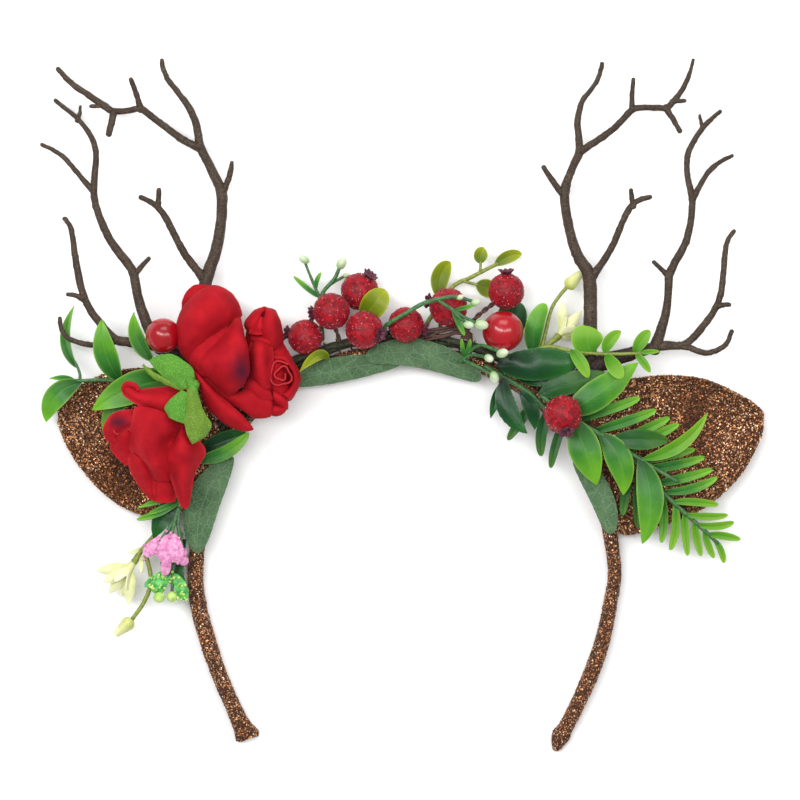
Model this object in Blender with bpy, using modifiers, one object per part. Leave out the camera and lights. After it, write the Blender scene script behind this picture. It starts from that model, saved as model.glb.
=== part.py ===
"""Reindeer antler headband, lying on its back as it rests on a table.

Units in the tables are millimetres. +X is to the right as the flowers are seen from the front, +Y runs
from the tips of the band to the antlers, and +Z is up, out of the front of the flowers. The origin is
on the table, under the middle of the whole headband.
"""

import math
from collections import namedtuple

import bmesh
import bpy
from mathutils import Vector

MM = 0.001

# Driving sizes of the band, in mm
ARCH_CENTRE_Y = -50.0
ARCH_HALF_WIDTH = 75.0
ARCH_RISE = 69.0
BAND_WIDTH = 5.4
BAND_DEPTH = 8.0
BAND_SIDES = 8

# The wrapped wire stems of the picks run beside the band, on its outer side
STEM_OFFSET = 5.4
STEM_RADIUS = 2.2
STEM_HEIGHT = 5.6
STEM_UNEVEN = 0.15

# The arch is lofted through sections this many degrees apart, and the stems through as many
ARCH_STEP = 14
ARCH_FROM, ARCH_TO = 160, 20
STEM_FROM, STEM_TO = 146, 34

LEAF_THICKNESS = 0.7
FABRIC_THICKNESS = 1.0
EAR_THICKNESS = 1.4
PETAL_THICKNESS = 1.0
TRUMPET_THICKNESS = 0.8

# A blade is never narrower than these shares of its half width, at its base and at its tip
LEAST_AT_BASE = 0.10
LEAST_AT_TIP = 0.06

# A tube's rounded end: how far it reaches past the last row and how thin it gets, in radii
END_REACH = 0.5
END_RADIUS = 0.55

# Share of the faces that a fused piece keeps
FUSED_DETAIL = 0.74

# Outline of a blade: how blunt it is at its base and at its tip, smaller is blunter
OUTLINES = {
    "pointed": (0.75, 0.85),
    "oval": (0.6, 0.55),
    "round": (0.45, 0.35),
    "strap": (0.4, 0.4),
    "petal": (0.45, 0.28),
    "fan": (0.85, 0.32),
}

Blade = namedtuple("Blade", "base middle tip width cup outline")
Ball = namedtuple("Ball", "x y z radius")

COLOURS = {
    "glitter": ((0.30, 0.16, 0.08), 0.45, 0.4),
    "antler": ((0.07, 0.045, 0.035), 0.5, 0.0),
    "rose": ((0.55, 0.01, 0.02), 0.75, 0.0),
    "berry": ((0.60, 0.01, 0.03), 0.4, 0.0),
    "gloss_berry": ((0.65, 0.01, 0.02), 0.12, 0.0),
    "velvet": ((0.10, 0.17, 0.10), 0.9, 0.0),
    "sepal": ((0.13, 0.34, 0.05), 0.8, 0.0),
    "leaf": ((0.09, 0.30, 0.03), 0.35, 0.0),
    "dark_leaf": ((0.02, 0.10, 0.03), 0.3, 0.0),
    "lime_leaf": ((0.35, 0.50, 0.02), 0.4, 0.0),
    "cream": ((0.75, 0.78, 0.45), 0.5, 0.0),
    "pink": ((0.80, 0.35, 0.55), 0.6, 0.0),
    "green_foam": ((0.10, 0.60, 0.12), 0.6, 0.0),
    "stem": ((0.08, 0.04, 0.03), 0.8, 0.0),
}


def clear_scene():
    for obj in list(bpy.data.objects):
        bpy.data.objects.remove(obj)


clear_scene()
PARTS = bpy.data.collections.new("antler_headband")
CUTTERS = bpy.data.collections.new("joined_pieces")
bpy.context.scene.collection.children.link(PARTS)
bpy.context.scene.collection.children.link(CUTTERS)


def material(name):
    found = bpy.data.materials.get(name)
    if found:
        return found
    colour, roughness, metallic = COLOURS[name]
    made = bpy.data.materials.new(name)
    made.use_nodes = True
    shader = made.node_tree.nodes["Principled BSDF"]
    shader.inputs["Base Color"].default_value = (*colour, 1.0)
    shader.inputs["Roughness"].default_value = roughness
    shader.inputs["Metallic"].default_value = metallic
    made.diffuse_color = (*colour, 1.0)
    return made


def new_object(name, mesh):
    obj = bpy.data.objects.new(name, mesh)
    PARTS.objects.link(obj)
    return obj


# Curves through points

def through_three(base, middle, tip, t):
    """The parabola that passes base at 0, middle at one half and tip at 1."""
    return base * ((1 - t) * (1 - 2 * t)) + middle * (4 * t * (1 - t)) + tip * (t * (2 * t - 1))


# Tubes

def tube(name, rows, sides=6, round_end=True):
    """A tapered tube along rows of x, y, z, radius in mm, as a closed mesh."""
    path = list(rows)
    if round_end:
        last, before = Vector(path[-1][:3]), Vector(path[-2][:3])
        radius = path[-1][3]
        beyond = last + (last - before).normalized() * radius * END_REACH
        path.append((*beyond, radius * END_RADIUS))
    data = bpy.data.curves.new(name, "CURVE")
    data.dimensions = "3D"
    data.bevel_depth = MM
    data.bevel_resolution = (sides - 4) // 2
    data.use_fill_caps = True
    spline = data.splines.new("POLY")
    spline.points.add(len(path) - 1)
    for point, (x, y, z, radius) in zip(spline.points, path):
        point.co = (x * MM, y * MM, z * MM, 1)
        point.radius = radius
    curve = bpy.data.objects.new(name + "_path", data)
    PARTS.objects.link(curve)
    graph = bpy.context.evaluated_depsgraph_get()
    mesh = bpy.data.meshes.new_from_object(curve.evaluated_get(graph))
    bpy.data.objects.remove(curve)
    bm = bmesh.new()
    bm.from_mesh(mesh)
    bmesh.ops.remove_doubles(bm, verts=bm.verts, dist=0.00001)
    bm.to_mesh(mesh)
    bm.free()
    return new_object(name, mesh)


# Blades: leaves, petals and cloth strips

def half_width(blade, t):
    at_base, at_tip = OUTLINES[blade.outline]
    peak = at_base / (at_base + at_tip)
    top = peak ** at_base * (1 - peak) ** at_tip
    share = t ** at_base * (1 - t) ** at_tip / top
    return blade.width / 2 * max(share, LEAST_AT_BASE if t < 0.5 else LEAST_AT_TIP)


def blade_grid(blade, rows, columns, face):
    """Rows of points over a curved blade. Cup lifts its edges towards the face, or drops them."""
    base, middle, tip = Vector(blade.base), Vector(blade.middle), Vector(blade.tip)
    grid = []
    for i in range(rows + 1):
        t = (1 - math.cos(math.pi * i / rows)) / 2
        here = through_three(base, middle, tip, t)
        ahead = through_three(base, middle, tip, t + 0.01)
        along = (ahead - here).normalized()
        side = Vector(face).cross(along).normalized()
        normal = along.cross(side)
        half = half_width(blade, t)
        row = []
        for j in range(columns + 1):
            u = 2 * j / columns - 1
            row.append(here + side * (u * half) + normal * (blade.cup * half * u * u))
        grid.append(row)
    return grid


def shell(name, grid, thickness, wrap=False):
    """A grid of points in mm as an open surface, given its thickness by Solidify."""
    bm = bmesh.new()
    made = [[bm.verts.new(point * MM) for point in row] for row in grid]
    for i in range(len(grid) - 1):
        count = len(grid[i])
        for j in range(count if wrap else count - 1):
            k = (j + 1) % count
            bm.faces.new((made[i][j], made[i][k], made[i + 1][k], made[i + 1][j]))
    mesh = bpy.data.meshes.new(name)
    bm.to_mesh(mesh)
    bm.free()
    obj = new_object(name, mesh)
    solidify = obj.modifiers.new("thickness", "SOLIDIFY")
    solidify.thickness = thickness * MM
    solidify.offset = 0.0
    return obj


def blade(name, row, thickness=LEAF_THICKNESS, rows=3, columns=2, face=(0, 0, 1)):
    return shell(name, blade_grid(Blade(*row), rows, columns, face), thickness)


# Round pieces

def ball(name, row, sides=10, rings=6, stretch=(1, 1, 1)):
    """A faceted ball or egg from a row of x, y, z, radius in mm."""
    bm = bmesh.new()
    bmesh.ops.create_uvsphere(bm, u_segments=sides, v_segments=rings, radius=row[3] * MM)
    bmesh.ops.scale(bm, vec=stretch, verts=bm.verts)
    bmesh.ops.translate(bm, vec=Vector(row[:3]) * MM, verts=bm.verts)
    mesh = bpy.data.meshes.new(name)
    bm.to_mesh(mesh)
    bm.free()
    return new_object(name, mesh)


def fuse(name, pieces, colour, detail=FUSED_DETAIL):
    """One solid from overlapping closed pieces, by a Boolean union with a collection of them."""
    body, others = pieces[0], pieces[1:]
    if others:
        group = bpy.data.collections.new(name + "_pieces")
        CUTTERS.children.link(group)
        for obj in others:
            PARTS.objects.unlink(obj)
            group.objects.link(obj)
            obj.name = name + "_joined"
            obj.hide_render = True
            obj.display_type = "WIRE"
        body.name = name
        union = body.modifiers.new("union", "BOOLEAN")
        union.operation = "UNION"
        union.solver = "EXACT"
        union.operand_type = "COLLECTION"
        union.collection = group
        union.use_self = detail == 1
        if detail < 1:
            fewer = body.modifiers.new("fewer_faces", "DECIMATE")
            fewer.ratio = detail
    return finish(body, colour)


def finish(obj, colour):
    obj.data.materials.clear()
    obj.data.materials.append(material(colour))
    obj.data.shade_smooth()
    obj.data.set_sharp_from_angle(angle=math.radians(40))
    return obj


# The band

def arch_point(angle, offset=0.0):
    """A point on the arch, angle 0 at the right and 180 at the left, offset outwards."""
    turn = math.radians(angle)
    return (
        (ARCH_HALF_WIDTH + offset) * math.cos(turn),
        ARCH_CENTRE_Y + (ARCH_RISE + offset) * math.sin(turn),
    )


# Each arm below the arch: x, y, width across, depth. The wrapping is uneven, and pinched at the tip.
LEFT_ARM = (
    (-74.6, -57.0, 5.5, 8.0),
    (-73.8, -72.0, 5.7, 8.0),
    (-70.4, -85.0, 5.8, 8.0),
    (-66.2, -97.5, 5.5, 8.0),
    (-60.8, -110.0, 5.6, 7.2),
    (-57.6, -117.0, 7.4, 5.0),
    (-55.6, -120.9, 8.0, 3.4),
)
RIGHT_ARM = (
    (76.4, -57.0, 4.8, 8.0),
    (75.0, -72.0, 4.8, 8.0),
    (72.0, -86.0, 5.3, 8.0),
    (67.8, -98.0, 5.6, 8.0),
    (62.4, -110.0, 5.2, 7.2),
    (58.6, -117.5, 6.6, 5.0),
    (56.2, -122.0, 4.6, 3.8),
    (55.6, -125.2, 1.6, 3.2),
)


def band_rows():
    arch = []
    for angle in range(ARCH_FROM, ARCH_TO - 1, -ARCH_STEP):
        x, y = arch_point(angle)
        arch.append((x, y, BAND_WIDTH, BAND_DEPTH))
    return [*reversed(LEFT_ARM), *arch, *RIGHT_ARM]


def make_band():
    """A loft of flattened rounds that all stand on the table, so its back is flat along its length."""
    rows = band_rows()
    bm = bmesh.new()
    rings = []
    for i, (x, y, width, depth) in enumerate(rows):
        before, after = rows[max(i - 1, 0)], rows[min(i + 1, len(rows) - 1)]
        along = Vector((after[0] - before[0], after[1] - before[1], 0)).normalized()
        side = Vector((along.y, -along.x, 0))
        foot = math.cos(math.pi / BAND_SIDES)
        ring = []
        for k in range(BAND_SIDES):
            turn = 2 * math.pi * (k + 0.5) / BAND_SIDES
            height = depth / 2 * (1 - math.cos(turn) / foot)
            point = Vector((x, y, height)) + side * (width / 2 * math.sin(turn))
            ring.append(bm.verts.new(point * MM))
        rings.append(ring)
    for one, two in zip(rings, rings[1:]):
        for k in range(BAND_SIDES):
            m = (k + 1) % BAND_SIDES
            bm.faces.new((one[k], two[k], two[m], one[m]))
    bm.faces.new(rings[0])
    bm.faces.new(list(reversed(rings[-1])))
    bmesh.ops.recalc_face_normals(bm, faces=bm.faces)
    mesh = bpy.data.meshes.new("headband")
    bm.to_mesh(mesh)
    bm.free()
    return finish(new_object("headband", mesh), "glitter")


def make_stem_bundle():
    """The bound wire stems of the picks, on the outer side of the arch."""
    rows = []
    for angle in range(STEM_FROM, STEM_TO - 1, -ARCH_STEP):
        x, y = arch_point(angle, STEM_OFFSET)
        bulge = math.cos(math.radians(angle * 9))
        rows.append((x, y, STEM_HEIGHT, STEM_RADIUS + STEM_UNEVEN * bulge))
    return finish(tube("stem_bundle", rows, sides=8), "stem")


# Antlers: each branch is rows of x, y, z, radius

LEFT_ANTLER = (
    ((-57, 2, 10.8, 2.5), (-63, 8, 11.0, 2.7), (-71, 14, 11.2, 2.7), (-80, 18, 11.4, 2.4),
     (-90, 21.4, 11.6, 2.1), (-98, 22.4, 12, 1.8), (-104, 23.8, 12.4, 1.6), (-109.6, 30.4, 13.2, 1.4),
     (-114.6, 38.5, 14.2, 1.35), (-117.2, 49, 14.2, 1.15), (-118.8, 60, 13.2, 1.0),
     (-122, 67.2, 12, 0.85)),
    ((-102.6, 23, 12.4, 1.2), (-108, 21.4, 13, 1.0), (-117, 22.8, 13.4, 0.95), (-122, 26.6, 13, 0.9),
     (-123.3, 31, 12.6, 0.8)),
    ((-115, 38, 14.2, 1.0), (-120.2, 39.6, 15, 0.75)),
    ((-87, 20, 11.6, 2.1), (-91, 26, 12, 2.1), (-94.6, 35, 12.6, 1.9), (-96.8, 46, 13.2, 1.6),
     (-102, 55, 14, 1.5), (-108.4, 66, 13.7, 1.35), (-111.2, 77, 12.4, 1.15), (-110.6, 89, 10.8, 1.0),
     (-114, 98.6, 9, 0.95), (-125.3, 109.8, 6.4, 0.75)),
    ((-96.4, 46.6, 13.2, 1.0), (-91.2, 52.7, 14.6, 0.8)),
    ((-111.2, 76.6, 12.4, 1.0), (-115, 82, 12, 0.9), (-121, 88.8, 10.6, 0.85), (-130, 93.7, 8.4, 0.7)),
    ((-117.8, 102.2, 8.0, 0.7), (-116.4, 107.3, 9, 0.55)),
    ((-69, 12.6, 11.1, 2.6), (-71, 24, 11, 2.4), (-71.2, 38, 10.6, 2.3), (-70.6, 46, 10.4, 2.2),
     (-66.8, 60, 10, 2.0), (-65, 75, 9.6, 1.8), (-68.2, 84, 9.3, 1.6), (-73.2, 93, 9, 1.5),
     (-75.6, 103, 8.2, 1.25), (-83.4, 115.2, 6.4, 1.0), (-87, 124.2, 4.8, 0.85)),
    ((-71.2, 45, 10.4, 1.6), (-77.4, 53.4, 11.9, 1.35), (-84, 66, 13.9, 1.2), (-88.6, 72, 14.7, 1.1),
     (-94.3, 74.7, 15.4, 0.9)),
    ((-88, 71, 14.6, 0.95), (-87.5, 77.2, 15.8, 0.85)),
    ((-65.2, 75.4, 9.6, 1.2), (-62.4, 82, 10.7, 1.05), (-61.4, 87.2, 11.6, 0.9)),
    ((-72.8, 92.2, 9, 1.4), (-83, 99.2, 10.6, 1.3), (-93.6, 106.2, 12, 1.25), (-103.6, 105.6, 12.6, 1.15),
     (-114, 112.6, 11, 1.1), (-119.4, 116.2, 9.6, 1.05), (-124.5, 121, 8, 0.9)),
    ((-93.6, 105.8, 12, 1.05), (-97.7, 117, 14, 0.85)),
    ((-108.6, 108.8, 12, 0.8), (-112.4, 107.3, 13, 0.7)),
    ((-103.8, 105.8, 12.6, 1.15), (-105.7, 97.2, 14.4, 1.05)),
)

RIGHT_ANTLER = (
    ((57, 2, 10.8, 2.5), (62, 8.4, 11.0, 2.7), (69, 13.8, 11.2, 2.7), (77, 16.8, 11.4, 2.5),
     (85, 19, 11.6, 2.1), (93, 20.8, 12, 1.8), (101, 21.4, 12.4, 1.3), (106.6, 25.4, 12.8, 1.2),
     (112.6, 34.6, 13.9, 1.15), (115, 46, 14.1, 1.05), (116.2, 57, 13.1, 0.9), (119.3, 62.5, 12.2, 0.85)),
    ((99.6, 21.2, 12.3, 1.1), (106.6, 18.6, 12.9, 1.05), (113.4, 19.4, 13, 1.0), (117.2, 23, 12.6, 0.9),
     (118.5, 26.8, 12.4, 0.75)),
    ((113, 35, 14, 1.0), (117.4, 35.9, 15, 0.8)),
    ((90.5, 19.6, 11.8, 2.0), (94, 29, 12.6, 1.75), (95.8, 41, 13.4, 1.4), (97, 49.4, 13.7, 1.5),
     (102.4, 59, 14, 1.35), (104.1, 73, 12.8, 1.1), (102.4, 86, 10.8, 1.05), (104.4, 94.4, 9.3, 1.0),
     (114.6, 106, 6, 0.75)),
    ((96.2, 45, 13.5, 1.0), (90.3, 51.2, 14.8, 0.75)),
    ((104.2, 72.6, 12.8, 1.0), (109.4, 83, 11.7, 0.95), (118.8, 89.7, 9, 0.7)),
    ((108.6, 99.2, 8, 0.7), (107, 104.2, 9.2, 0.55)),
    ((67, 12.8, 11.1, 2.6), (67.6, 24, 11, 2.5), (67.6, 45, 10.4, 2.35), (62.4, 56.5, 10, 1.95),
     (59.4, 68, 9.7, 1.7), (58.5, 76, 9.6, 1.6), (60.6, 84.6, 9.3, 1.5), (63.7, 91.4, 9, 1.5),
     (62.9, 101, 8, 1.3), (65.6, 111, 6.8, 1.1), (70.6, 118, 5.3, 0.95), (72.2, 123.2, 4.6, 0.85)),
    ((68.2, 45, 10.4, 1.6), (74, 53.2, 12, 1.35), (79.4, 65.8, 13.8, 1.2), (83, 71.6, 14.5, 1.1),
     (89, 74.6, 15.2, 0.9)),
    ((82.9, 71, 14.4, 1.0), (82.1, 77, 15.6, 0.9)),
    ((58.8, 74.4, 9.6, 1.3), (55, 79, 10.8, 1.1), (50.7, 85.4, 12, 0.9)),
    ((63.6, 90.8, 9, 1.45), (73, 97.7, 10.8, 1.35), (82.4, 106, 12.2, 1.2), (95.2, 106.8, 12.6, 1.1),
     (100.4, 113, 11, 1.0), (104.8, 124.2, 8.2, 0.6)),
    ((82.6, 105.8, 12.2, 1.05), (82.9, 117, 14, 0.75)),
    ((96.6, 108.4, 12.2, 0.95), (101.4, 109.2, 13.4, 0.7)),
    ((94.6, 107, 12.6, 1.1), (99.8, 98.3, 14.2, 0.9)),
)


def make_antler(name, branches):
    return fuse(name, [tube(name, rows) for rows in branches], "antler")


# Ears: a cupped felt sheet. Each row has an upper and a lower edge point and its height at the middle.
# upper x, upper y, lower x, lower y, middle height, how far the edges stand up
RIGHT_EAR = (
    (64.8, -11.6, 76.4, -44.0, 9.35, 0.0),
    (78.0, 7.2, 81.0, -46.9, 5.0, 1.6),
    (87.0, 9.5, 90.0, -45.0, 1.8, 4.5),
    (97.0, 10.2, 101.0, -41.3, 0.9, 6.5),
    (108.0, 8.3, 112.0, -34.5, 0.8, 7.0),
    (119.0, 4.0, 121.0, -25.5, 1.8, 5.5),
    (126.0, -0.2, 127.4, -15.5, 4.0, 3.0),
    (129.9, -3.4, 130.3, -7.0, 6.0, 0.6),
)
LEFT_EAR = (
    (-64.8, -12.0, -75.6, -37.0, 9.25, 0.0),
    (-77.0, 10.5, -84.0, -39.0, 5.0, 1.6),
    (-86.0, 12.4, -92.0, -40.0, 1.8, 4.2),
    (-96.0, 12.7, -101.0, -37.0, 0.9, 5.5),
    (-106.0, 11.5, -109.0, -30.5, 0.8, 6.0),
    (-114.5, 8.6, -116.0, -21.5, 1.8, 4.5),
    (-121.0, 4.0, -121.8, -12.5, 3.4, 2.4),
    (-124.3, -0.5, -124.6, -4.5, 4.6, 0.6),
)
EAR_COLUMNS = 5


def make_ear(name, rows):
    grid = []
    for ux, uy, lx, ly, middle, rise in rows:
        upper, lower = Vector((ux, uy, 0)), Vector((lx, ly, 0))
        row = []
        for j in range(EAR_COLUMNS + 1):
            u = 2 * j / EAR_COLUMNS - 1
            point = (upper + lower) / 2 + (upper - lower) / 2 * u
            point.z = middle + rise * u * u
            row.append(point)
        grid.append(row)
    return finish(shell(name, grid, EAR_THICKNESS), "glitter")


# Roses: a core, a hidden stem and petals. Petal rows: blade, then the direction that it faces.

Rose = namedtuple("Rose", "core core_stretch stem petals")

ROSES = {
    "rose_upper": Rose(
        Ball(-69, 18.4, 23.0, 8.2), (1, 1.1, 1.0),
        ((-69, 16, 18, 2.0), (-61, 5, 16.4, 1.5), (-57.4, 1.4, 15.1, 1.4)),
        (
            ((-74.2, 14.0, 21), (-73.2, 28, 32), (-68.0, 43, 25.5), 24, -0.4, "fan", (-0.25, 0.3, 1)),
            ((-70, 20, 18), (-75.6, 32, 20.5), (-74.4, 43.8, 20), 11, -0.3, "petal", (-0.6, 0.3, 0.8)),
            ((-75.0, 13.4, 25), (-65.5, 17.0, 34), (-54.6, 15, 29.6), 27, -0.22, "petal", (0.1, 0, 1)),
            ((-71, 13, 20), (-69.4, -1.8, 26.2), (-53.5, -9.6, 24), 11, -0.3, "pointed", (-0.3, -0.35, 1)),
            ((-68, 13, 20), (-60.5, 1.4, 24), (-50, -5, 21), 11, -0.2, "oval", (-0.2, -0.5, 1)),
            ((-67, 22, 20), (-60.5, 30, 27), (-57, 33, 22.5), 13, -0.2, "oval", (0.3, 0.3, 1)),
        ),
    ),
    "rose_right": Rose(
        Ball(-47, 13, 18, 7.0), (1, 1.1, 1.15),
        ((-47, 10, 14, 2.0), (-47, 8, 10.5, 1.6), (-47, 7, 8.6, 1.2)),
        (
            ((-49, 18, 14), (-50.5, 29, 24), (-50, 35.3, 18), 13, -0.4, "petal", (0, 0.2, 1)),
            ((-47, 17, 14), (-44.5, 27, 21), (-46, 34.6, 15), 10, -0.4, "petal", (0.5, 0.2, 0.8)),
            ((-51, 3, 20), (-51, 14, 29), (-51.5, 24, 24), 9, -0.35, "petal", (-0.1, 0, 1)),
            ((-46, 0, 14), (-39, 6, 22), (-38.5, 15, 19), 11, -0.4, "petal", (0.5, -0.1, 0.9)),
            ((-48, 4, 17), (-44, 14, 26), (-42, 19.6, 21), 12, -0.45, "petal", (0.2, 0.3, 1)),
            ((-48, 6, 18), (-43, 7, 27), (-39.6, 11, 23), 10, 0.3, "petal", (0.3, 0, 1)),
            ((-54, 5, 15.5), (-50, 0.4, 19.5), (-44.6, -4.6, 16), 11, -0.3, "oval", (0, -0.4, 1)),
        ),
    ),
    "rose_lower": Rose(
        Ball(-88, -12, 20, 8.4), (1.1, 1.25, 1.0),
        ((-84, -10, 16, 2.0), (-75, -9, 12.8, 1.5), (-69.8, -10.3, 10.8, 1.3)),
        (
            ((-83, -4, 19), (-91, -12, 30), (-87.5, -27, 25), 18, -0.38, "petal", (-0.2, -0.1, 1)),
            ((-81, -7, 21), (-77.5, -18.5, 29), (-78.6, -36.6, 22), 13.5, -0.4, "pointed", (0.3, 0, 1)),
            ((-80, -4, 21), (-88.5, 1.5, 26), (-99.8, 5.8, 22), 9.5, -0.35, "strap", (-0.2, 0.3, 1)),
            ((-93, -3, 16), (-103, -9.5, 22), (-100, -20, 16), 12, -0.4, "petal", (-0.6, 0, 0.9)),
            ((-91, -12, 16), (-95.5, -22, 23), (-88, -34, 18), 12, -0.35, "petal", (-0.3, -0.3, 1)),
            ((-84, -20, 17), (-85.5, -28, 23), (-82.5, -34.4, 18), 9, -0.3, "petal", (0.1, -0.3, 1)),
            ((-92, -3, 17), (-99, -5.5, 24), (-103.5, -6, 19), 7, -0.3, "petal", (-0.3, 0.4, 1)),
        ),
    ),
}


def make_rose(name, rose):
    pieces = [ball(name, rose.core, 10, 6, rose.core_stretch)]
    pieces.append(tube(name, rose.stem, sides=6))
    for *row, face in rose.petals:
        pieces.append(blade(name, row, PETAL_THICKNESS, rows=3, columns=3, face=face))
    return fuse(name, pieces, "rose", detail=1)


# Berries: x, y, z, radius. The frosted ones carry a dried crown, which points along a direction
FROSTED = (
    (-35.0, 24.3, 10.8, 6.2, (-0.9, 0.2, -0.2)),
    (-25.5, 33.5, 15.0, 6.5, (-0.9, -0.1, -0.3)),
    (-15.5, 40.8, 7.1, 6.7, (0.5, 0.75, 0.4)),
    (-13.7, 26.7, 17.0, 6.7, (0.75, -0.2, 0.6)),
    (1.2, 28.6, 14.2, 6.3, (0.8, -0.2, -0.2)),
    (16.5, 35.0, 13.0, 6.8, (-0.8, 0.25, -0.2)),
    (37.3, 40.8, 13.0, 6.4, (0.0, 0.9, 0.2)),
    (57.5, -3.6, 24.0, 6.8, (0.15, -0.75, 0.6)),
)
GLOSSY = ((36.1, 26.3, 15.6, 7.4), (-85.9, 24.7, 20.2, 6.3))

# The crown: its corners, its radius at the foot, and the radius and reach of its points and of its notches
CROWN_CORNERS = 8
CROWN_FOOT = 1.3
CROWN_SUNK = 0.88
CROWN_POINT = (2.5, 2.0)
CROWN_NOTCH = (1.2, 0.9)


def crown(name, centre, radius, direction):
    """A ring of short sepals round a dimple, as on a rose hip."""
    bm = bmesh.new()
    axis = Vector(direction).normalized()
    turn = Vector((0, 0, 1)).rotation_difference(axis).to_matrix()
    foot, top = [], []
    for k in range(CROWN_CORNERS):
        angle = 2 * math.pi * k / CROWN_CORNERS
        out = Vector((math.cos(angle), math.sin(angle), 0))
        wide, reach = CROWN_POINT if k % 2 == 0 else CROWN_NOTCH
        foot.append(bm.verts.new(out * CROWN_FOOT + Vector((0, 0, radius * CROWN_SUNK))))
        top.append(bm.verts.new(out * wide + Vector((0, 0, radius + reach))))
    bm.faces.new(list(reversed(foot)))
    bm.faces.new(top)
    for k in range(CROWN_CORNERS):
        m = (k + 1) % CROWN_CORNERS
        bm.faces.new((foot[k], foot[m], top[m], top[k]))
    bmesh.ops.rotate(bm, matrix=turn, verts=bm.verts)
    bmesh.ops.translate(bm, vec=Vector(centre), verts=bm.verts)
    bmesh.ops.scale(bm, vec=(MM, MM, MM), verts=bm.verts)
    bmesh.ops.triangulate(bm, faces=bm.faces)
    mesh = bpy.data.meshes.new(name)
    bm.to_mesh(mesh)
    bm.free()
    return new_object(name, mesh)


# The wire that carries each frosted berry: from its surface to the bound stems
WIRES = (
    None,
    ((-25.0, 29.8, 12.4, 0.7), (-22.6, 22.8, 9.0, 0.7)),
    ((-14.6, 36.4, 6.8, 0.7), (-10.8, 27.2, 6.0, 0.7)),
    ((-13.7, 24.6, 10.8, 0.7), (-13.7, 23.4, 8.6, 0.7)),
    None,
    ((14.8, 31.6, 11.6, 0.7), (12.3, 24.8, 8.3, 0.7)),
    ((34.6, 37.8, 11.6, 0.8), (26.0, 30.8, 9.4, 0.8), (21.4, 23.4, 8.4, 0.8)),
    ((57.0, -4.0, 17.6, 0.8), (55.5, -6.5, 14.6, 0.8)),
)


def make_berries():
    for i, (x, y, z, radius, direction) in enumerate(FROSTED):
        name = f"frosted_berry_{i + 1}"
        pieces = [ball(name, (x, y, z, radius)), crown(name, (x, y, z), radius, direction)]
        if WIRES[i]:
            pieces.append(tube(name, WIRES[i], sides=6))
        fuse(name, pieces, "berry")
    for i, row in enumerate(GLOSSY):
        finish(ball(f"glossy_berry_{i + 1}", row, 12, 8), "gloss_berry")


# Grey-green cloth leaves wound along the band: base, middle, tip, width, cup, outline
WRAP_LEAVES = {
    "wrap_leaf_top_left": ((-41, 7.5, 9.4), (-24, 12.4, 9.5), (0, 15.5, 9.0), 9.0, -0.2, "oval"),
    "wrap_leaf_top_right": ((-13, 16.6, 11.2), (7, 18.2, 10.5), (28, 9, 9.4), 10.0, -0.15, "strap"),
    "wrap_leaf_left": ((-61, -19, 11.0), (-71.6, -35, 11.5), (-73.6, -53.6, 8.9), 12.0, -0.1, "oval"),
    "wrap_leaf_right": ((62, -19, 11.0), (71, -32, 11.8), (75, -46.5, 10.9), 8.4, -0.15, "strap"),
}

# Loose leaves: base, middle, tip, width, cup, outline
LEAVES = {
    "leaf_dark_upper": ((34, 14, 14.6), (48, 14.4, 17.2), (62.6, 15.6, 15.6), 11.6, -0.25, "oval"),
    "leaf_dark_under": ((42, 9, 11.0), (53, 10, 12.6), (63, 14.5, 14.2), 6.0, 0.2, "pointed"),
    "leaf_dark_lower": ((36.4, 9.4, 11.3), (37.8, -1.5, 12.8), (44.8, -10.3, 11.6), 7.4, -0.2, "pointed"),
    "leaf_dark_inner": ((42, 5, 11.6), (46.4, -1.5, 11.0), (47.6, -9.0, 9.6), 5.4, 0.2, "pointed"),
    "leaf_dark_edge": ((36.4, 8.0, 9.9), (33.8, 2.0, 9.6), (31.8, -4.8, 8.8), 3.6, 0.2, "pointed"),
    "leaf_round_back": ((39, 24, 8.0), (39.6, 31, 6.0), (39.5, 37, 5.0), 10.5, -0.1, "round"),
    "leaf_upright": ((47.4, 18.6, 10.2), (47.6, 28, 12.0), (51.6, 36, 12.0), 6.6, -0.2, "strap"),
    "leaf_lime_middle": ((-14.4, 31.2, 9.2), (-10.2, 36, 13.7), (-6.6, 41.4, 12.8), 9.4, 0.15, "oval"),
    "leaf_lime_low": ((-26.6, 16.2, 10.1), (-30.5, 17.6, 12.8), (-37, 11.8, 13.8), 3.6, 0.3, "pointed"),
    "leaf_lime_upright": ((13.6, 38.4, 6.0), (13.6, 46, 6.6), (17.2, 51.4, 8.0), 6.6, 0.2, "oval"),
    "leaf_pointed_left": ((-89.4, 15.4, 14.3), (-95.4, 23.4, 14.7), (-96.6, 33, 15.4), 5.4, 0.2, "pointed"),
    "leaf_broad_left": ((-81, 8.8, 10.4), (-96, 6.2, 15.4), (-111.6, -2, 13.2), 11.5, 0.15, "pointed"),
    "leaf_behind_left": ((-98.6, 6.7, 9.9), (-104.0, -2.0, 10.4), (-107.8, -10.4, 9.4), 6.6, 0.1, "pointed"),
    "leaf_under_rose": ((-76, -20, 12.8), (-64.5, -17.6, 13.1), (-55.4, -10.2, 12.3), 5.0, 0.25, "oval"),
    "leaf_dark_rose": ((-73.4, -17, 10.0), (-64.5, -13.4, 11.0), (-56.4, -10.2, 10.6), 7.0, 0.2, "oval"),
    "leaf_dark_low": ((-79.4, -35.4, 12.9), (-85.4, -39.6, 12.7), (-89.6, -48.4, 10.8), 7.6, 0.1, "pointed"),
    "leaf_dark_tip": ((-78.0, -48.6, 8.6), (-83, -58, 8.0), (-77.6, -66.8, 9.6), 8.6, 0.1, "pointed"),
}

LEAF_COLOURS = {"leaf_dark": "dark_leaf", "leaf_lime": "lime_leaf", "leaf_round": "dark_leaf"}


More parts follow.
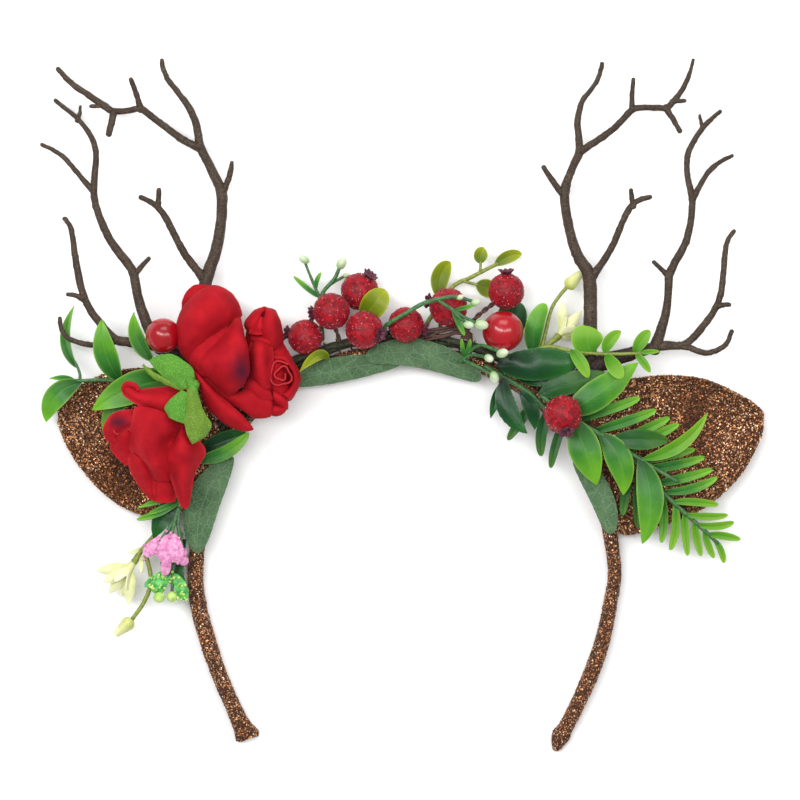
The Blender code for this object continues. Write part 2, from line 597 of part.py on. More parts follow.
def make_leaves():
    for name, row in WRAP_LEAVES.items():
        finish(blade(name, row, FABRIC_THICKNESS, rows=5, columns=3), "velvet")
    for name, row in LEAVES.items():
        colour = next((c for start, c in LEAF_COLOURS.items() if name.startswith(start)), "leaf")
        finish(blade(name, row), colour)


# Sprigs: tubes for the stems, then blades for the leaves, fused as they are moulded in one. The fold is
# how many strips a leaf has across it: two for one that is creased along its middle.
Sprig = namedtuple("Sprig", "colour fold stems blades balls")

SPRIGS = {
    "rose_sepals": Sprig("sepal", 2, (((-75.9, 8.6, 30.0, 1.7), (-74.5, 4.0, 30.4, 1.7)),), (
        ((-73.8, 7.6, 29.6), (-81.0, 13.0, 27.6), (-91.2, 16.1, 23.9), 10.0, -0.15, "round"),
        ((-74.4, 5.8, 29.4), (-85, 8.0, 25.6), (-93.6, 13.4, 20.8), 3.6, 0.2, "strap"),
        ((-74.8, 6.7, 30.6), (-79.6, -0.5, 32.8), (-84.6, -4.4, 31.6), 8.0, -0.1, "round"),
        ((-75.1, 7.1, 30.0), (-73.0, -4.3, 32.8), (-73.8, -13.8, 32.2), 8.2, -0.1, "oval"),
    ), ((-74.6, 7.0, 29.4, 3.5),)),
    "laurel_sprig": Sprig("leaf", 2, (
        ((50, 3, 12.6, 0.8), (57, -2, 15.6, 0.8), (64, -6.6, 16.4, 0.8), (76, -13.6, 16.3, 0.8),
         (88, -21.2, 15.6, 0.8), (98.6, -27.6, 15.6, 0.7)),
    ), (
        ((49, 3.4, 12.8), (59.6, 7.6, 15.2), (73.6, 11.4, 15.0), 8.0, -0.1, "pointed"),
        ((58.6, -3.2, 16.0), (70.8, 4.2, 19.0), (84.6, 15, 15.6), 10.6, -0.25, "pointed"),
        ((61.4, -5.2, 16.4), (65.6, -16.6, 19.4), (69.8, -28.8, 15.4), 11.4, -0.25, "pointed"),
        ((71, -10.6, 16.4), (78, -20.2, 18.4), (79.4, -32.4, 14.6), 9.4, -0.25, "pointed"),
        ((85, -19.4, 16.0), (89.0, -34, 19.0), (86.2, -50, 15.6), 9.6, -0.25, "pointed"),
        ((75, -12.6, 16.4), (86, -12.6, 18.0), (95.8, -13, 16.0), 7.4, 0.15, "pointed"),
        ((86, -19.6, 15.8), (99.6, -14.4, 20.0), (109.4, -3, 21.4), 4.8, 0.3, "pointed"),
    ), ()),
    "fern_sprig": Sprig("leaf", 1, (
        ((30, 13.6, 9.4, 1.0), (44, 5.4, 9.6, 0.95), (53, -2.4, 10.2, 0.9), (64, -8, 12.2, 0.9),
         (74, -13.4, 12.8, 0.9), (84, -21, 12.8, 0.9), (93, -31, 12.6, 0.9),
         (101.5, -39, 11.8, 0.85), (109, -45.6, 10.6, 0.8), (113.5, -50, 9.8, 0.65)),
    ), (
        ((61, -6, 11.6), (75.4, -1.4, 13.8), (85.4, 2.4, 12.8), 3.6, 0.25, "strap"),
        ((68, -10, 12.4), (81.4, -5.8, 14.0), (91.2, -2, 13.0), 3.6, 0.25, "strap"),
        ((76, -14.6, 12.8), (87.6, -9.0, 14.2), (96, -4.8, 13.4), 3.4, 0.25, "strap"),
        ((79.6, -17.4, 12.8), (91, -11.4, 14.0), (99.4, -7, 13.6), 3.4, 0.25, "strap"),
        ((84, -21, 12.8), (95.4, -18.4, 13.8), (105.2, -16.2, 13.4), 3.2, 0.25, "strap"),
        ((86.4, -23.6, 12.8), (98, -21.8, 13.6), (108.6, -19, 13.4), 3.4, 0.25, "strap"),
        ((91, -28.6, 12.8), (101.4, -26.4, 13.4), (111.4, -23.4, 13.4), 3.4, 0.25, "strap"),
        ((93.6, -31.6, 12.6), (104.4, -30.2, 13.4), (113.2, -26.2, 13.8), 3.2, 0.25, "strap"),
        ((97.4, -35, 12.2), (106, -35.2, 13.0), (113.6, -36.2, 13.4), 2.8, 0.25, "strap"),
        ((102, -39.6, 11.8), (110, -40.4, 12.6), (117, -39.8, 12.8), 2.7, 0.25, "strap"),
        ((106, -43.2, 11.2), (113, -43.8, 12.0), (119.2, -42.4, 12.2), 2.7, 0.25, "strap"),
        ((110, -46.8, 10.4), (116, -47.4, 11.4), (121.6, -48.6, 11.4), 2.7, 0.25, "strap"),
        ((81.6, -19.4, 12.8), (80.4, -31, 12.4), (79.2, -40, 11.4), 3.4, 0.25, "strap"),
        ((85, -22, 12.8), (84.2, -34, 12.2), (84.6, -44.4, 11.6), 2.6, 0.25, "strap"),
        ((92, -29.6, 12.8), (94, -39.6, 12.2), (93.2, -49.8, 11.4), 3.2, 0.25, "strap"),
        ((98, -35.8, 12.2), (98.4, -44.4, 11.8), (96.4, -52.4, 11.2), 3.2, 0.25, "strap"),
        ((101.6, -39, 11.8), (102, -47, 11.4), (102.7, -54.4, 11.0), 2.8, 0.25, "strap"),
        ((105, -42.2, 11.4), (106, -48.4, 10.8), (107.6, -54.6, 10.4), 2.7, 0.25, "strap"),
        ((108.6, -45.4, 10.6), (110, -50.4, 10.2), (112.2, -55.2, 9.8), 2.5, 0.25, "strap"),
        ((112.6, -49, 9.8), (114.8, -52.8, 9.6), (115.8, -57, 9.4), 2.5, 0.25, "strap"),
        ((53, -1.6, 10.4), (50.2, -9.8, 9.8), (50, -18.6, 8.8), 4.0, 0.25, "strap"),
        ((58.6, -5.2, 11.2), (55.4, -13.8, 10.6), (53.4, -22.8, 9.8), 3.2, 0.25, "strap"),
        ((48, 2.4, 10.0), (42.6, -5.8, 9.2), (38, -12.8, 8.4), 3.4, 0.25, "strap"),
    ), ()),
    "boxwood_sprig_right": Sprig("lime_leaf", 2, (
        ((43, 17.4, 13.6, 0.7), (52, 20.8, 13.8, 0.7), (62, 19, 15.4, 0.65), (75, 18.1, 15.4, 0.6),
         (86, 18.5, 15.0, 0.55)),
    ), (
        ((68, 18.4, 15.4), (66.4, 23, 17.0), (66.8, 28, 17.0), 11.4, -0.1, "round"),
        ((60.4, 19.4, 15.6), (63.8, 15.4, 18.4), (66.6, 9.6, 19.0), 4.6, 0.2, "oval"),
        ((72.8, 18.2, 15.4), (74.4, 22.8, 17.0), (78.4, 26.2, 17.0), 4.4, 0.15, "oval"),
        ((73.2, 18.0, 15.4), (76.0, 13.6, 19.4), (78.8, 9.4, 20.4), 5.2, -0.1, "oval"),
        ((83.4, 18.4, 15.0), (85.8, 22.8, 16.4), (88.9, 26.6, 16.6), 4.6, 0.15, "oval"),
        ((83.8, 18.4, 15.0), (86.4, 15.4, 16.4), (89, 11.6, 16.6), 2.9, 0.15, "oval"),
        ((85, 18.5, 15.0), (88.4, 18.9, 15.4), (92.4, 19.1, 15.4), 1.8, 0.1, "oval"),
    ), ()),
    "boxwood_sprig_left": Sprig("leaf", 2, (
        ((-79, 9.4, 8.6, 0.8), (-90, 8.0, 10.0, 0.8), (-100, 8.2, 10.8, 0.75), (-108, 8.8, 11.4, 0.7),
         (-116, 8.6, 11.4, 0.65), (-123, 9.2, 11.2, 0.55)),
        ((-116, 8.6, 11.4, 0.6), (-116.4, 11.6, 10.6, 0.55), (-118, 15.4, 9.8, 0.5)),
    ), (
        ((-101.4, 8.4, 11.0), (-106.8, 18.4, 16.2), (-108, 30.4, 17.4), 8.2, 0.2, "pointed"),
        ((-115.6, 8.0, 11.4), (-124.6, 3.0, 11.8), (-128.4, -6.4, 9.8), 8.2, 0.15, "pointed"),
        ((-117, 13.0, 10.2), (-121.6, 23, 9.0), (-118.4, 35.4, 8.8), 3.8, 0.2, "pointed"),
        ((-118, 9.0, 11.4), (-122.4, 9.6, 11.8), (-127, 9.3, 11.6), 2.0, 0.1, "pointed"),
    ), ()),
    "lime_sprig": Sprig("lime_leaf", 2, (
        ((7.2, 26.8, 5.2, 0.8), (17, 41.4, 4.6, 0.8), (25, 46, 5.4, 0.75), (34, 50.6, 6.2, 0.7)),
        ((28, 47.6, 5.8, 0.6), (28.2, 51.4, 6.2, 0.5)),
        ((22.4, 44.4, 5.2, 0.6), (27, 43.2, 5.0, 0.5)),
    ), (
        ((33.4, 50.2, 6.2), (38, 53.2, 6.6), (43, 54.3, 6.6), 4.6, 0.15, "oval"),
        ((28.2, 50.8, 6.2), (28.2, 53.8, 6.6), (29, 56.8, 6.8), 5.0, 0.15, "oval"),
        ((26.6, 43.3, 5.0), (30.4, 42, 4.6), (34.4, 40.0, 4.2), 6.4, 0.15, "oval"),
    ), ()),
    "pip_sprig_left": Sprig("cream", 1, (
        ((-28.9, 23.5, 5.0, 0.8), (-29.4, 38.4, 4.8, 0.8), (-24.8, 45, 5.4, 0.75), (-22.6, 49.6, 5.8, 0.7)),
        ((-29.4, 37.4, 4.8, 0.7), (-32.4, 44.2, 5.0, 0.55), (-35.4, 51.8, 5.2, 0.55)),
        ((-25.8, 43.6, 5.3, 0.6), (-20.8, 46.4, 3.8, 0.5)),
    ), (
        ((-29.6, 38.6, 4.8), (-34.2, 41.8, 5.0), (-39.2, 46.2, 5.0), 1.9, 0.1, "strap"),
        ((-31.2, 41.4, 4.9), (-31, 44.4, 5.2), (-29.4, 47.6, 5.4), 1.7, 0.1, "strap"),
    ), (
        (-22, 51, 5.9, 2.3), (-35.6, 52.4, 5.2, 2.0), (-20.4, 46.6, 3.6, 1.3),
    )),
    "pip_sprig_centre": Sprig("cream", 1, (
        ((-7.0, 25.6, 9.0, 0.8), (-5.6, 28.6, 19.4, 0.8), (0.8, 32.4, 21.4, 0.8), (7.4, 36.2, 21.8, 0.8),
         (14, 38, 21.8, 0.75), (19.4, 38.6, 21.6, 0.7), (25.6, 36.9, 21.0, 0.6)),
        ((12.6, 37.6, 21.8, 0.7), (17, 34.6, 22.0, 0.65), (22, 31.4, 21.8, 0.6), (26.4, 29.2, 21.2, 0.6)),
        ((17.6, 34.2, 22.0, 0.6), (20, 31.4, 22.2, 0.55), (22.8, 29.4, 21.8, 0.55)),
    ), (
        ((18, 33.6, 22.0), (20, 29.6, 22.0), (22.2, 24.8, 21.6), 2.0, 0.1, "strap"),
        ((18.4, 33.8, 22.0), (22, 34.6, 22.2), (25.4, 35.4, 22.0), 1.6, 0.1, "strap"),
    ), (
        (26.2, 36.7, 20.8, 1.8), (28.2, 28.6, 20.6, 2.5), (23.6, 28.6, 21.6, 1.9), (20.6, 38.4, 21.6, 1.3),
    )),
    "pip_sprig_lower": Sprig("cream", 1, (
        ((20.4, 15.4, 11.9, 0.7), (25, 17.8, 15.4, 0.6), (30.6, 16.8, 19.2, 0.6)),
        ((21.6, 16.2, 12.8, 0.6), (27.4, 21.2, 17.4, 0.6), (34.8, 19, 22, 0.6)),
        ((22.0, 16.0, 12.8, 0.6), (27.4, 13.4, 15.6, 0.6), (31.6, 11, 16.8, 0.6)),
    ), (
        ((22.4, 17.2, 13.8), (21.6, 20.4, 15.6), (21.2, 23.6, 16.6), 1.6, 0.1, "strap"),
        ((22.4, 17.2, 13.8), (23.8, 20.4, 15.8), (24.3, 23.4, 16.8), 1.6, 0.1, "strap"),
    ), (
        (31, 16.6, 19.6, 1.9), (35.8, 18.4, 22.4, 2.2), (33, 9.8, 17.6, 2.2),
    )),
    "lily_sprig_right": Sprig("cream", 1, (
        ((45.8, 15.4, 9.2, 0.8), (50, 20.4, 8.6, 0.75), (54, 35, 6.6, 0.65), (59.8, 43, 6.6, 0.7)),
        ((49.6, 20, 8.6, 0.7), (52.6, 21.6, 8.2, 0.8), (56.2, 24.6, 7.6, 1.4)),
    ), (), (
        (60.6, 43.6, 6.6, 2.5), (62.9, 45.9, 6.6, 1.8), (64.6, 47.4, 6.6, 1.3),
    )),
    "lily_sprig_left": Sprig("cream", 1, (
        ((-79.4, -36.4, 10.1, 0.9), (-86, -43.4, 9.4, 0.85), (-93.6, -52, 9.0, 0.85),
         (-96.6, -56.6, 9.2, 1.3)),
        ((-93.4, -51.6, 9.0, 0.8), (-91, -60, 9.8, 0.8), (-91, -66, 10.2, 0.8), (-93.6, -72, 10.0, 0.8),
         (-97.4, -77.4, 9.4, 0.8)),
    ), (
        ((-93.4, -51.4, 9.0), (-96, -52.8, 9.4), (-98.8, -53.4, 9.6), 1.4, 0.1, "oval"),
        ((-93.4, -54.6, 9.4), (-94.2, -57.6, 9.8), (-94, -60.6, 10.0), 1.6, 0.1, "oval"),
    ), (
        (-99, -79, 9.2, 2.6), (-101.4, -81.2, 9.2, 1.8), (-103.4, -82.8, 9.2, 1.3),
    )),
    "grass_pick": Sprig("leaf", 1, (
        ((-78.0, -33.0, 15.4, 0.7), (-80.2, -36.6, 15.6, 0.7)),
    ), (
        ((-78.4, -33.6, 15.4), (-87, -34.6, 15.8), (-95.4, -37.4, 15.0), 2.2, 0.2, "pointed"),
        ((-78.8, -33.8, 15.4), (-86, -37.2, 15.6), (-92, -39.6, 14.8), 2.2, 0.2, "pointed"),
        ((-78.8, -33.8, 15.4), (-87, -38.6, 15.0), (-95.6, -41.4, 13.8), 2.8, 0.2, "oval"),
    ), ()),
    "pink_stamen_pick": Sprig("pink", 2, (
        ((-80.6, -37.4, 14.2, 0.7), (-83.4, -44, 14.9, 0.7), (-88, -50, 15.0, 0.7)),
        ((-80.6, -37.8, 14.2, 0.7), (-82.6, -45, 15.6, 0.7), (-84, -54, 16.0, 0.7)),
        ((-80.4, -37.8, 14.2, 0.7), (-80.6, -44, 14.6, 0.7), (-79.2, -52, 14.4, 0.7)),
    ), (
        ((-85.6, -47.4, 15.2), (-89.6, -51.2, 15.8), (-92.8, -54.2, 14.6), 4.6, -0.2, "round"),
        ((-83.6, -46.6, 16.0), (-84.6, -51.8, 17.6), (-86.4, -56.6, 16.0), 6.6, -0.2, "round"),
        ((-83, -46.6, 16.2), (-81.6, -51.8, 17.8), (-81.4, -56.8, 16.2), 5.6, -0.2, "round"),
        ((-84, -53.4, 16.0), (-85, -57.8, 15.8), (-85.4, -61.4, 14.8), 3.6, -0.2, "round"),
    ), (
        (-79.2, -53.2, 14.4, 1.8), (-78.8, -56.2, 14.4, 1.9), (-82.4, -47.6, 15.4, 1.3),
    )),
    "green_stamen_pick": Sprig("green_foam", 2, (
        ((-79.4, -46.6, 11.6, 0.6), (-82.4, -58, 12.0, 0.6), (-83, -68, 12.4, 0.6)),
        ((-82.2, -57, 12.0, 0.6), (-87.4, -68, 12.4, 0.6)),
    ), (
        ((-83.6, -60, 12.2), (-87.4, -64.6, 13.2), (-88.6, -68, 12.4), 5.2, -0.2, "round"),
        ((-82.6, -61, 12.2), (-79.6, -66, 13.4), (-79.2, -70.2, 12.6), 4.4, -0.2, "round"),
        ((-82.8, -59.4, 12.0), (-88.4, -62.6, 12.0), (-92.6, -65.6, 11.6), 3.4, -0.1, "round"),
    ), (
        (-83, -69.2, 12.5, 2.0), (-87.6, -69.4, 12.5, 2.0),
    )),
}

# Cloth pieces with long thin creases, which keep all their faces
WHOLE_DETAIL = ("rose_sepals",)

# Trumpet flowers: throat, mouth centre, mouth radius
TRUMPET_SIDES = 8
TRUMPETS = {
    "lily_sprig_right": ((55.6, 24.2, 7.6), (61.2, 29.4, 6.8), 5.2),
    "lily_sprig_left": ((-96.0, -55.8, 9.2), (-103.2, -64.8, 8.6), 6.2),
}


def trumpet(name, throat, mouth, radius):
    """A four-lobed flower, as rings of points from its throat to its rim."""
    throat, mouth = Vector(throat), Vector(mouth)
    axis = (mouth - throat).normalized()
    across = axis.orthogonal().normalized()
    other = axis.cross(across)
    grid = []
    # how far along, how wide, how far the lobes reach past the rim
    for along, wide, lobe in ((0.0, 0.2, 0.0), (0.6, 0.5, 0.02), (1.0, 1.0, 0.2)):
        ring = []
        for k in range(TRUMPET_SIDES):
            turn = 2 * math.pi * k / TRUMPET_SIDES
            out = across * math.cos(turn) + other * math.sin(turn)
            reach = 1 + (lobe if k % 2 else -lobe)
            ring.append(throat + (mouth - throat) * along * reach + out * radius * wide * reach)
        grid.append(ring)
    return shell(name, grid, TRUMPET_THICKNESS, wrap=True)


def make_sprig(name, sprig):
    pieces = [tube(name, rows, sides=4, round_end=False) for rows in sprig.stems]
    pieces += [blade(name, row, rows=3, columns=sprig.fold) for row in sprig.blades]
    pieces += [ball(name, row, 6, 4) for row in sprig.balls]
    if name in TRUMPETS:
        pieces.append(trumpet(name, *TRUMPETS[name]))
    return fuse(name, pieces, sprig.colour, detail=1 if name in WHOLE_DETAIL else FUSED_DETAIL)


def main():
    make_band()
    make_stem_bundle()
    make_antler("antler_left", LEFT_ANTLER)
    make_antler("antler_right", RIGHT_ANTLER)
    make_ear("ear_left", LEFT_EAR)
    make_ear("ear_right", RIGHT_EAR)
    for name, rose in ROSES.items():
        make_rose(name, rose)
    make_berries()
    make_leaves()
    for name, sprig in SPRIGS.items():
        make_sprig(name, sprig)


main()
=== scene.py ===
import math

import bpy
import numpy as np
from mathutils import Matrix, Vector, noise


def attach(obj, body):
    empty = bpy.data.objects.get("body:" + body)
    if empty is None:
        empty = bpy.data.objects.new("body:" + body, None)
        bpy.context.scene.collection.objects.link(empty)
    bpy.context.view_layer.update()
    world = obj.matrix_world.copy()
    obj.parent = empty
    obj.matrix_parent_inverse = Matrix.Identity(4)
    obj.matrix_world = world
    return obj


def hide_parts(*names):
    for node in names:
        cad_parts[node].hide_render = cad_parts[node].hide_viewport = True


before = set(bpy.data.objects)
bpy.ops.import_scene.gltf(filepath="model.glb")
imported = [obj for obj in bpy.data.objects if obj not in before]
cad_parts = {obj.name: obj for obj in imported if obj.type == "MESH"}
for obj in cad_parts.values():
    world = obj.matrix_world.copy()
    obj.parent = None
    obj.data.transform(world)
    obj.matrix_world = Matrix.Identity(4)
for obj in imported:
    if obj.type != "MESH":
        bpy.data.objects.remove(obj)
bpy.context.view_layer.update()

# Tables are in millimetres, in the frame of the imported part
MM = 0.001
PETAL_THICKNESS = 0.5
LEAF_THICKNESS = 0.45
CLOTH_THICKNESS = 0.6
EAR_THICKNESS = 1.3
NARROW_LEAF_THICKNESS = 0.4
FLOWER_WALL = 0.45

# How many flakes or grains lie on one piece
BAND_FLAKES, EAR_FLAKES, SUGAR_GRAINS = 26000, 30000, 1500
random = np.random.default_rng(12)


# Grids of points and thin sheets

def catmull(rows, per_span):
    """Rows along a smooth curve that passes through each of the given rows of numbers."""
    rows = np.asarray(rows, float)
    ends = np.concatenate([2 * rows[:1] - rows[1:2], rows, 2 * rows[-1:] - rows[-2:-1]])
    found = []
    for i in range(1, len(ends) - 2):
        a, b, c, d = ends[i - 1 : i + 3]
        for t in np.arange(per_span) / per_span:
            found.append(
                0.5 * (2 * b + (c - a) * t + (2 * a - 5 * b + 4 * c - d) * t**2
                       + (3 * b - a - 3 * c + d) * t**3)
            )
    found.append(rows[-1])
    return np.array(found)


def normals_of(grid):
    across = np.gradient(grid, axis=1)
    along = np.gradient(grid, axis=0)
    found = np.cross(across, along)
    return found / (np.linalg.norm(found, axis=2, keepdims=True) + 1e-9)


def grid_faces(rows, columns, wrap=False):
    found = []
    for i in range(rows - 1):
        for j in range(columns if wrap else columns - 1):
            k = (j + 1) % columns
            found.append((i * columns + j, i * columns + k, (i + 1) * columns + k, (i + 1) * columns + j))
    return found


class Bits:
    """The points, faces and point values of a mesh that is being put together, in millimetres."""

    def __init__(self):
        self.points, self.faces, self.slots, self.values, self.count = [], [], [], [], 0

    def add(self, points, faces, slot=0, along=0.0, across=0.0, tint=0.0):
        points = np.asarray(points, float).reshape(-1, 3)
        self.faces += [tuple(k + self.count for k in face) for face in faces]
        self.slots += [slot] * len(faces)
        size = len(points)
        self.values.append(np.stack([np.broadcast_to(v, size) for v in (along, across, tint)], axis=1))
        self.points.append(points)
        self.count += size

    def sheet(self, grid, thickness, slot=0, tint=0.0):
        """Both faces and the edge of a thin sheet. Along runs 0 to 1 over its rows, across -1 to 1."""
        rows, columns = grid.shape[:2]
        lift = normals_of(grid) * thickness / 2
        faces = grid_faces(rows, columns)
        size = rows * columns
        both = list(faces) + [tuple(k + size for k in reversed(face)) for face in faces]
        rim = list(range(columns))
        rim += [i * columns + columns - 1 for i in range(1, rows)]
        rim += [size - 2 - j for j in range(columns - 1)]
        rim += [i * columns for i in range(rows - 2, 0, -1)]
        for a, b in zip(rim, rim[1:] + rim[:1]):
            both.append((b, a, a + size, b + size))
        v = np.repeat(np.linspace(0, 1, rows), columns)
        u = np.tile(np.linspace(-1, 1, columns), rows)
        tints = np.broadcast_to(tint, size) if np.ndim(tint) == 0 else np.ravel(tint)
        self.add(
            np.concatenate([(grid + lift).reshape(-1, 3), (grid - lift).reshape(-1, 3)]),
            both, slot, np.tile(v, 2), np.tile(u, 2), np.tile(tints, 2),
        )

    def tube(self, rows, sides=12, per_span=5, slot=0, tint=0.0, rough=0.0, flare=0.0):
        """A round, tapering tube through rows of x, y, z, radius, with rounded ends."""
        path = catmull(rows, per_span)
        centre, radius = path[:, :3], np.maximum(path[:, 3], 0.15)
        heading = np.gradient(centre, axis=0)
        heading /= np.linalg.norm(heading, axis=1)[:, None]
        cap = np.array([0.98, 0.8, 0.45])
        start = [centre[0] - heading[0] * radius[0] * s * 0.9 for s in cap]
        end = [centre[-1] + heading[-1] * radius[-1] * s * 0.9 for s in cap[::-1]]
        squeeze = np.sqrt(1 - cap**2)
        centre = np.concatenate([start, centre, end])
        radius = np.concatenate([radius[0] * squeeze, radius, radius[-1] * squeeze[::-1]])
        heading = np.concatenate([[heading[0]] * 3, heading, [heading[-1]] * 3])
        if flare:
            gone = np.concatenate([[0], np.cumsum(np.linalg.norm(np.diff(centre, axis=0), axis=1))])
            radius = radius * (1 + flare * np.exp(-gone / (1.6 * rows[0][3])))
        side = np.cross(heading[0], (0.13, 0.2, 1.0))
        rings = []
        turns = np.arange(sides) * 2 * math.pi / sides
        for here, ahead, wide in zip(centre, heading, radius):
            side = side - ahead * side.dot(ahead)
            side /= np.linalg.norm(side)
            other = np.cross(ahead, side)
            spread = np.cos(turns)[:, None] * side + np.sin(turns)[:, None] * other
            ring = here + spread * wide
            if rough:
                for k in range(sides):
                    ring[k] += spread[k] * rough * noise.noise(Vector(ring[k]) * 0.75)
                    ring[k] += spread[k] * 0.5 * rough * noise.noise(Vector(ring[k]) * 2.1)
            rings.append(ring)
        count = len(rings)
        faces = grid_faces(count, sides, wrap=True)
        faces.append(tuple(reversed(range(sides))))
        faces.append(tuple(range((count - 1) * sides, count * sides)))
        v = np.repeat(np.linspace(0, 1, count), sides)
        self.add(np.concatenate(rings), faces, slot, v, np.tile(np.cos(turns), count), tint)

    def ball(self, centre, radius, slot=0, tint=0.0, sides=24, stretch=(1, 1, 1), point_to=None, rough=0.0):
        """A round or egg-shaped body. Its long axis is turned to point_to."""
        rings = sides // 2
        lean = np.linspace(0.02, math.pi - 0.02, rings + 1)
        turns = np.arange(sides) * 2 * math.pi / sides
        points = np.stack([
            np.outer(np.sin(lean), np.cos(turns)), np.outer(np.sin(lean), np.sin(turns)),
            np.outer(np.cos(lean), np.ones(sides)),
        ], axis=2)
        if rough:
            for i in range(rings + 1):
                for j in range(sides):
                    points[i, j] *= 1 + rough * noise.noise(Vector(points[i, j]) * 2.2 + Vector(centre))
        points = points.reshape(-1, 3) * np.array(stretch) * radius
        if point_to is not None:
            turn = np.array(Vector((0, 0, 1)).rotation_difference(Vector(point_to)).to_matrix())
            points = points @ turn.T
        faces = [tuple(reversed(face)) for face in grid_faces(rings + 1, sides, wrap=True)]
        faces.append(tuple(range(sides)))
        faces.append(tuple(reversed(range(rings * sides, (rings + 1) * sides))))
        v = np.repeat(np.linspace(0, 1, rings + 1), sides)
        self.add(points + np.array(centre), faces, slot, v, 0.0, tint)

    def make(self, name, materials, node):
        """The joined mesh as a piece that rides on the part and stands for its node."""
        mesh = bpy.data.meshes.new(name)
        mesh.from_pydata(np.concatenate(self.points) * MM, [], self.faces)
        mesh.polygons.foreach_set("material_index", self.slots)
        values = np.concatenate(self.values).astype(np.float32)
        for k, word in enumerate(("along", "across", "tint")):
            mesh.attributes.new(word, "FLOAT", "POINT").data.foreach_set("value", values[:, k].copy())
        for material in materials:
            mesh.materials.append(material)
        mesh.shade_smooth()
        mesh.set_sharp_from_angle(angle=math.radians(50))
        piece = bpy.data.objects.new(name, mesh)
        bpy.context.scene.collection.objects.link(piece)
        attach(piece, "root")
        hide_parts(node)
        return piece


def patch(rows, across=16, per_span=7, fold=0.0):
    """A curved surface through rows of left, middle and right points. Fold 1 creases its middle line."""
    rows = np.asarray(rows, float)
    smooth = catmull(rows.reshape(len(rows), 9), per_span).reshape(-1, 3, 3)
    u = np.linspace(-1, 1, across + 1)[None, :, None]
    left, middle, right = smooth[:, None, 0], smooth[:, None, 1], smooth[:, None, 2]
    chord = (left + right) / 2 + (right - left) / 2 * u
    bend = (1 - fold) * (1 - u**2) + fold * (1 - np.abs(u))
    return chord + (middle - (left + right) / 2) * bend


def crumple(grid, size, amount, seed=0.0):
    """Moves the points of a surface along its normals by smooth noise. Size is a dent's width."""
    lift = normals_of(grid)
    flat, up = grid.reshape(-1, 3), lift.reshape(-1, 3)
    shifts = [noise.noise(Vector(p) / size + Vector((seed, 0, 0))) for p in flat]
    return (flat + up * (np.array(shifts) * amount)[:, None]).reshape(grid.shape)


def curl_rim(grid, reach):
    """Rolls the tip and both sides of a surface back, away from its normals."""
    rows, columns = grid.shape[:2]
    v = np.linspace(0, 1, rows)[:, None]
    u = np.abs(np.linspace(-1, 1, columns))[None, :]
    roll = np.maximum(np.clip((v - 0.8) / 0.2, 0, 1), np.clip((u - 0.72) / 0.28, 0, 1)) ** 2
    return grid - normals_of(grid) * (roll * reach)[:, :, None]


# Outline of a blade: how blunt it is at its base and at its tip, smaller is blunter
OUTLINES = {
    "pointed": (0.75, 0.85), "oval": (0.6, 0.55), "round": (0.45, 0.35), "strap": (0.4, 0.4),
}


def blade(row, rows=22, columns=12, face=(0, 0, 1), fold=0.5, groove=0.12, teeth=0.0, twist=0.0):
    """A leaf from base, middle, tip, width, cup, outline. Fold 1 creases it, its midrib is a groove."""
    base, middle, tip, width, cup, outline = row
    base, middle, tip = (np.array(p, float) for p in (base, middle, tip))
    at_base, at_tip = OUTLINES[outline]
    peak = at_base / (at_base + at_tip)
    top = peak**at_base * (1 - peak) ** at_tip
    grid = []
    for i in range(rows + 1):
        t = (1 - math.cos(math.pi * i / rows)) / 2
        here, ahead = (
            base * ((1 - s) * (1 - 2 * s)) + middle * (4 * s * (1 - s)) + tip * (s * (2 * s - 1))
            for s in (t, t + 0.01)
        )
        heading = (ahead - here) / np.linalg.norm(ahead - here)
        side = np.cross(face, heading)
        side /= np.linalg.norm(side)
        normal = np.cross(heading, side)
        angle = twist * (t - 0.3)
        side, normal = (
            side * math.cos(angle) + normal * math.sin(angle),
            normal * math.cos(angle) - side * math.sin(angle),
        )
        share = t**at_base * (1 - t) ** at_tip / top
        half = width / 2 * max(share, 0.1 if t < 0.5 else 0.015)
        half *= 1 + teeth * math.sin(t * 60)
        u = np.linspace(-1, 1, columns + 1)
        shape = (1 - fold) * u**2 + fold * np.abs(u)
        dip = groove * np.exp(-((u / 0.14) ** 2))
        grid.append(here + np.outer(u * half, side) + np.outer(cup * half * shape - dip, normal))
    return np.array(grid)


def scatter(bits, count, most_up=-2.0):
    """Random places on the faces of a mesh that is being put together, with the way each face looks."""
    points = np.concatenate(bits.points)
    corners = [face[:3] for face in bits.faces]
    corners = np.array(corners + [(f[0], f[2], f[3]) for f in bits.faces if len(f) == 4])
    a, b, c = (points[corners[:, k]] for k in range(3))
    normal = np.cross(b - a, c - a)
    area = np.linalg.norm(normal, axis=1)
    normal /= area[:, None] + 1e-12
    area = np.where(normal[:, 2] > most_up, area, 0)
    pick = random.choice(len(corners), count, p=area / area.sum())
    u, v = random.random((2, count))
    over = u + v > 1
    u, v = np.where(over, 1 - u, u)[:, None], np.where(over, 1 - v, v)[:, None]
    return a[pick] + (b[pick] - a[pick]) * u + (c[pick] - a[pick]) * v, normal[pick]


def add_flakes(bits, places, ways, size, tilt, slot, tint, lift=0.06):
    """Small square flakes that lie on a surface, each tilted at random."""
    count = len(places)
    up = ways + random.normal(0, tilt, (count, 3))
    up /= np.linalg.norm(up, axis=1)[:, None]
    side = np.cross(up, random.normal(0, 1, (count, 3)))
    side /= np.linalg.norm(side, axis=1)[:, None]
    other = np.cross(up, side)
    half = size * random.uniform(0.6, 1.25, (count, 1)) / 2
    middle = places + ways * lift
    corners = np.stack([
        middle + (side + other) * half, middle + (other - side) * half,
        middle - (side + other) * half, middle + (side - other) * half,
    ], axis=1)
    faces = [(4 * k, 4 * k + 1, 4 * k + 2, 4 * k + 3) for k in range(count)]
    bits.add(corners, faces, slot, 0.0, 0.0, np.repeat(tint, 4))


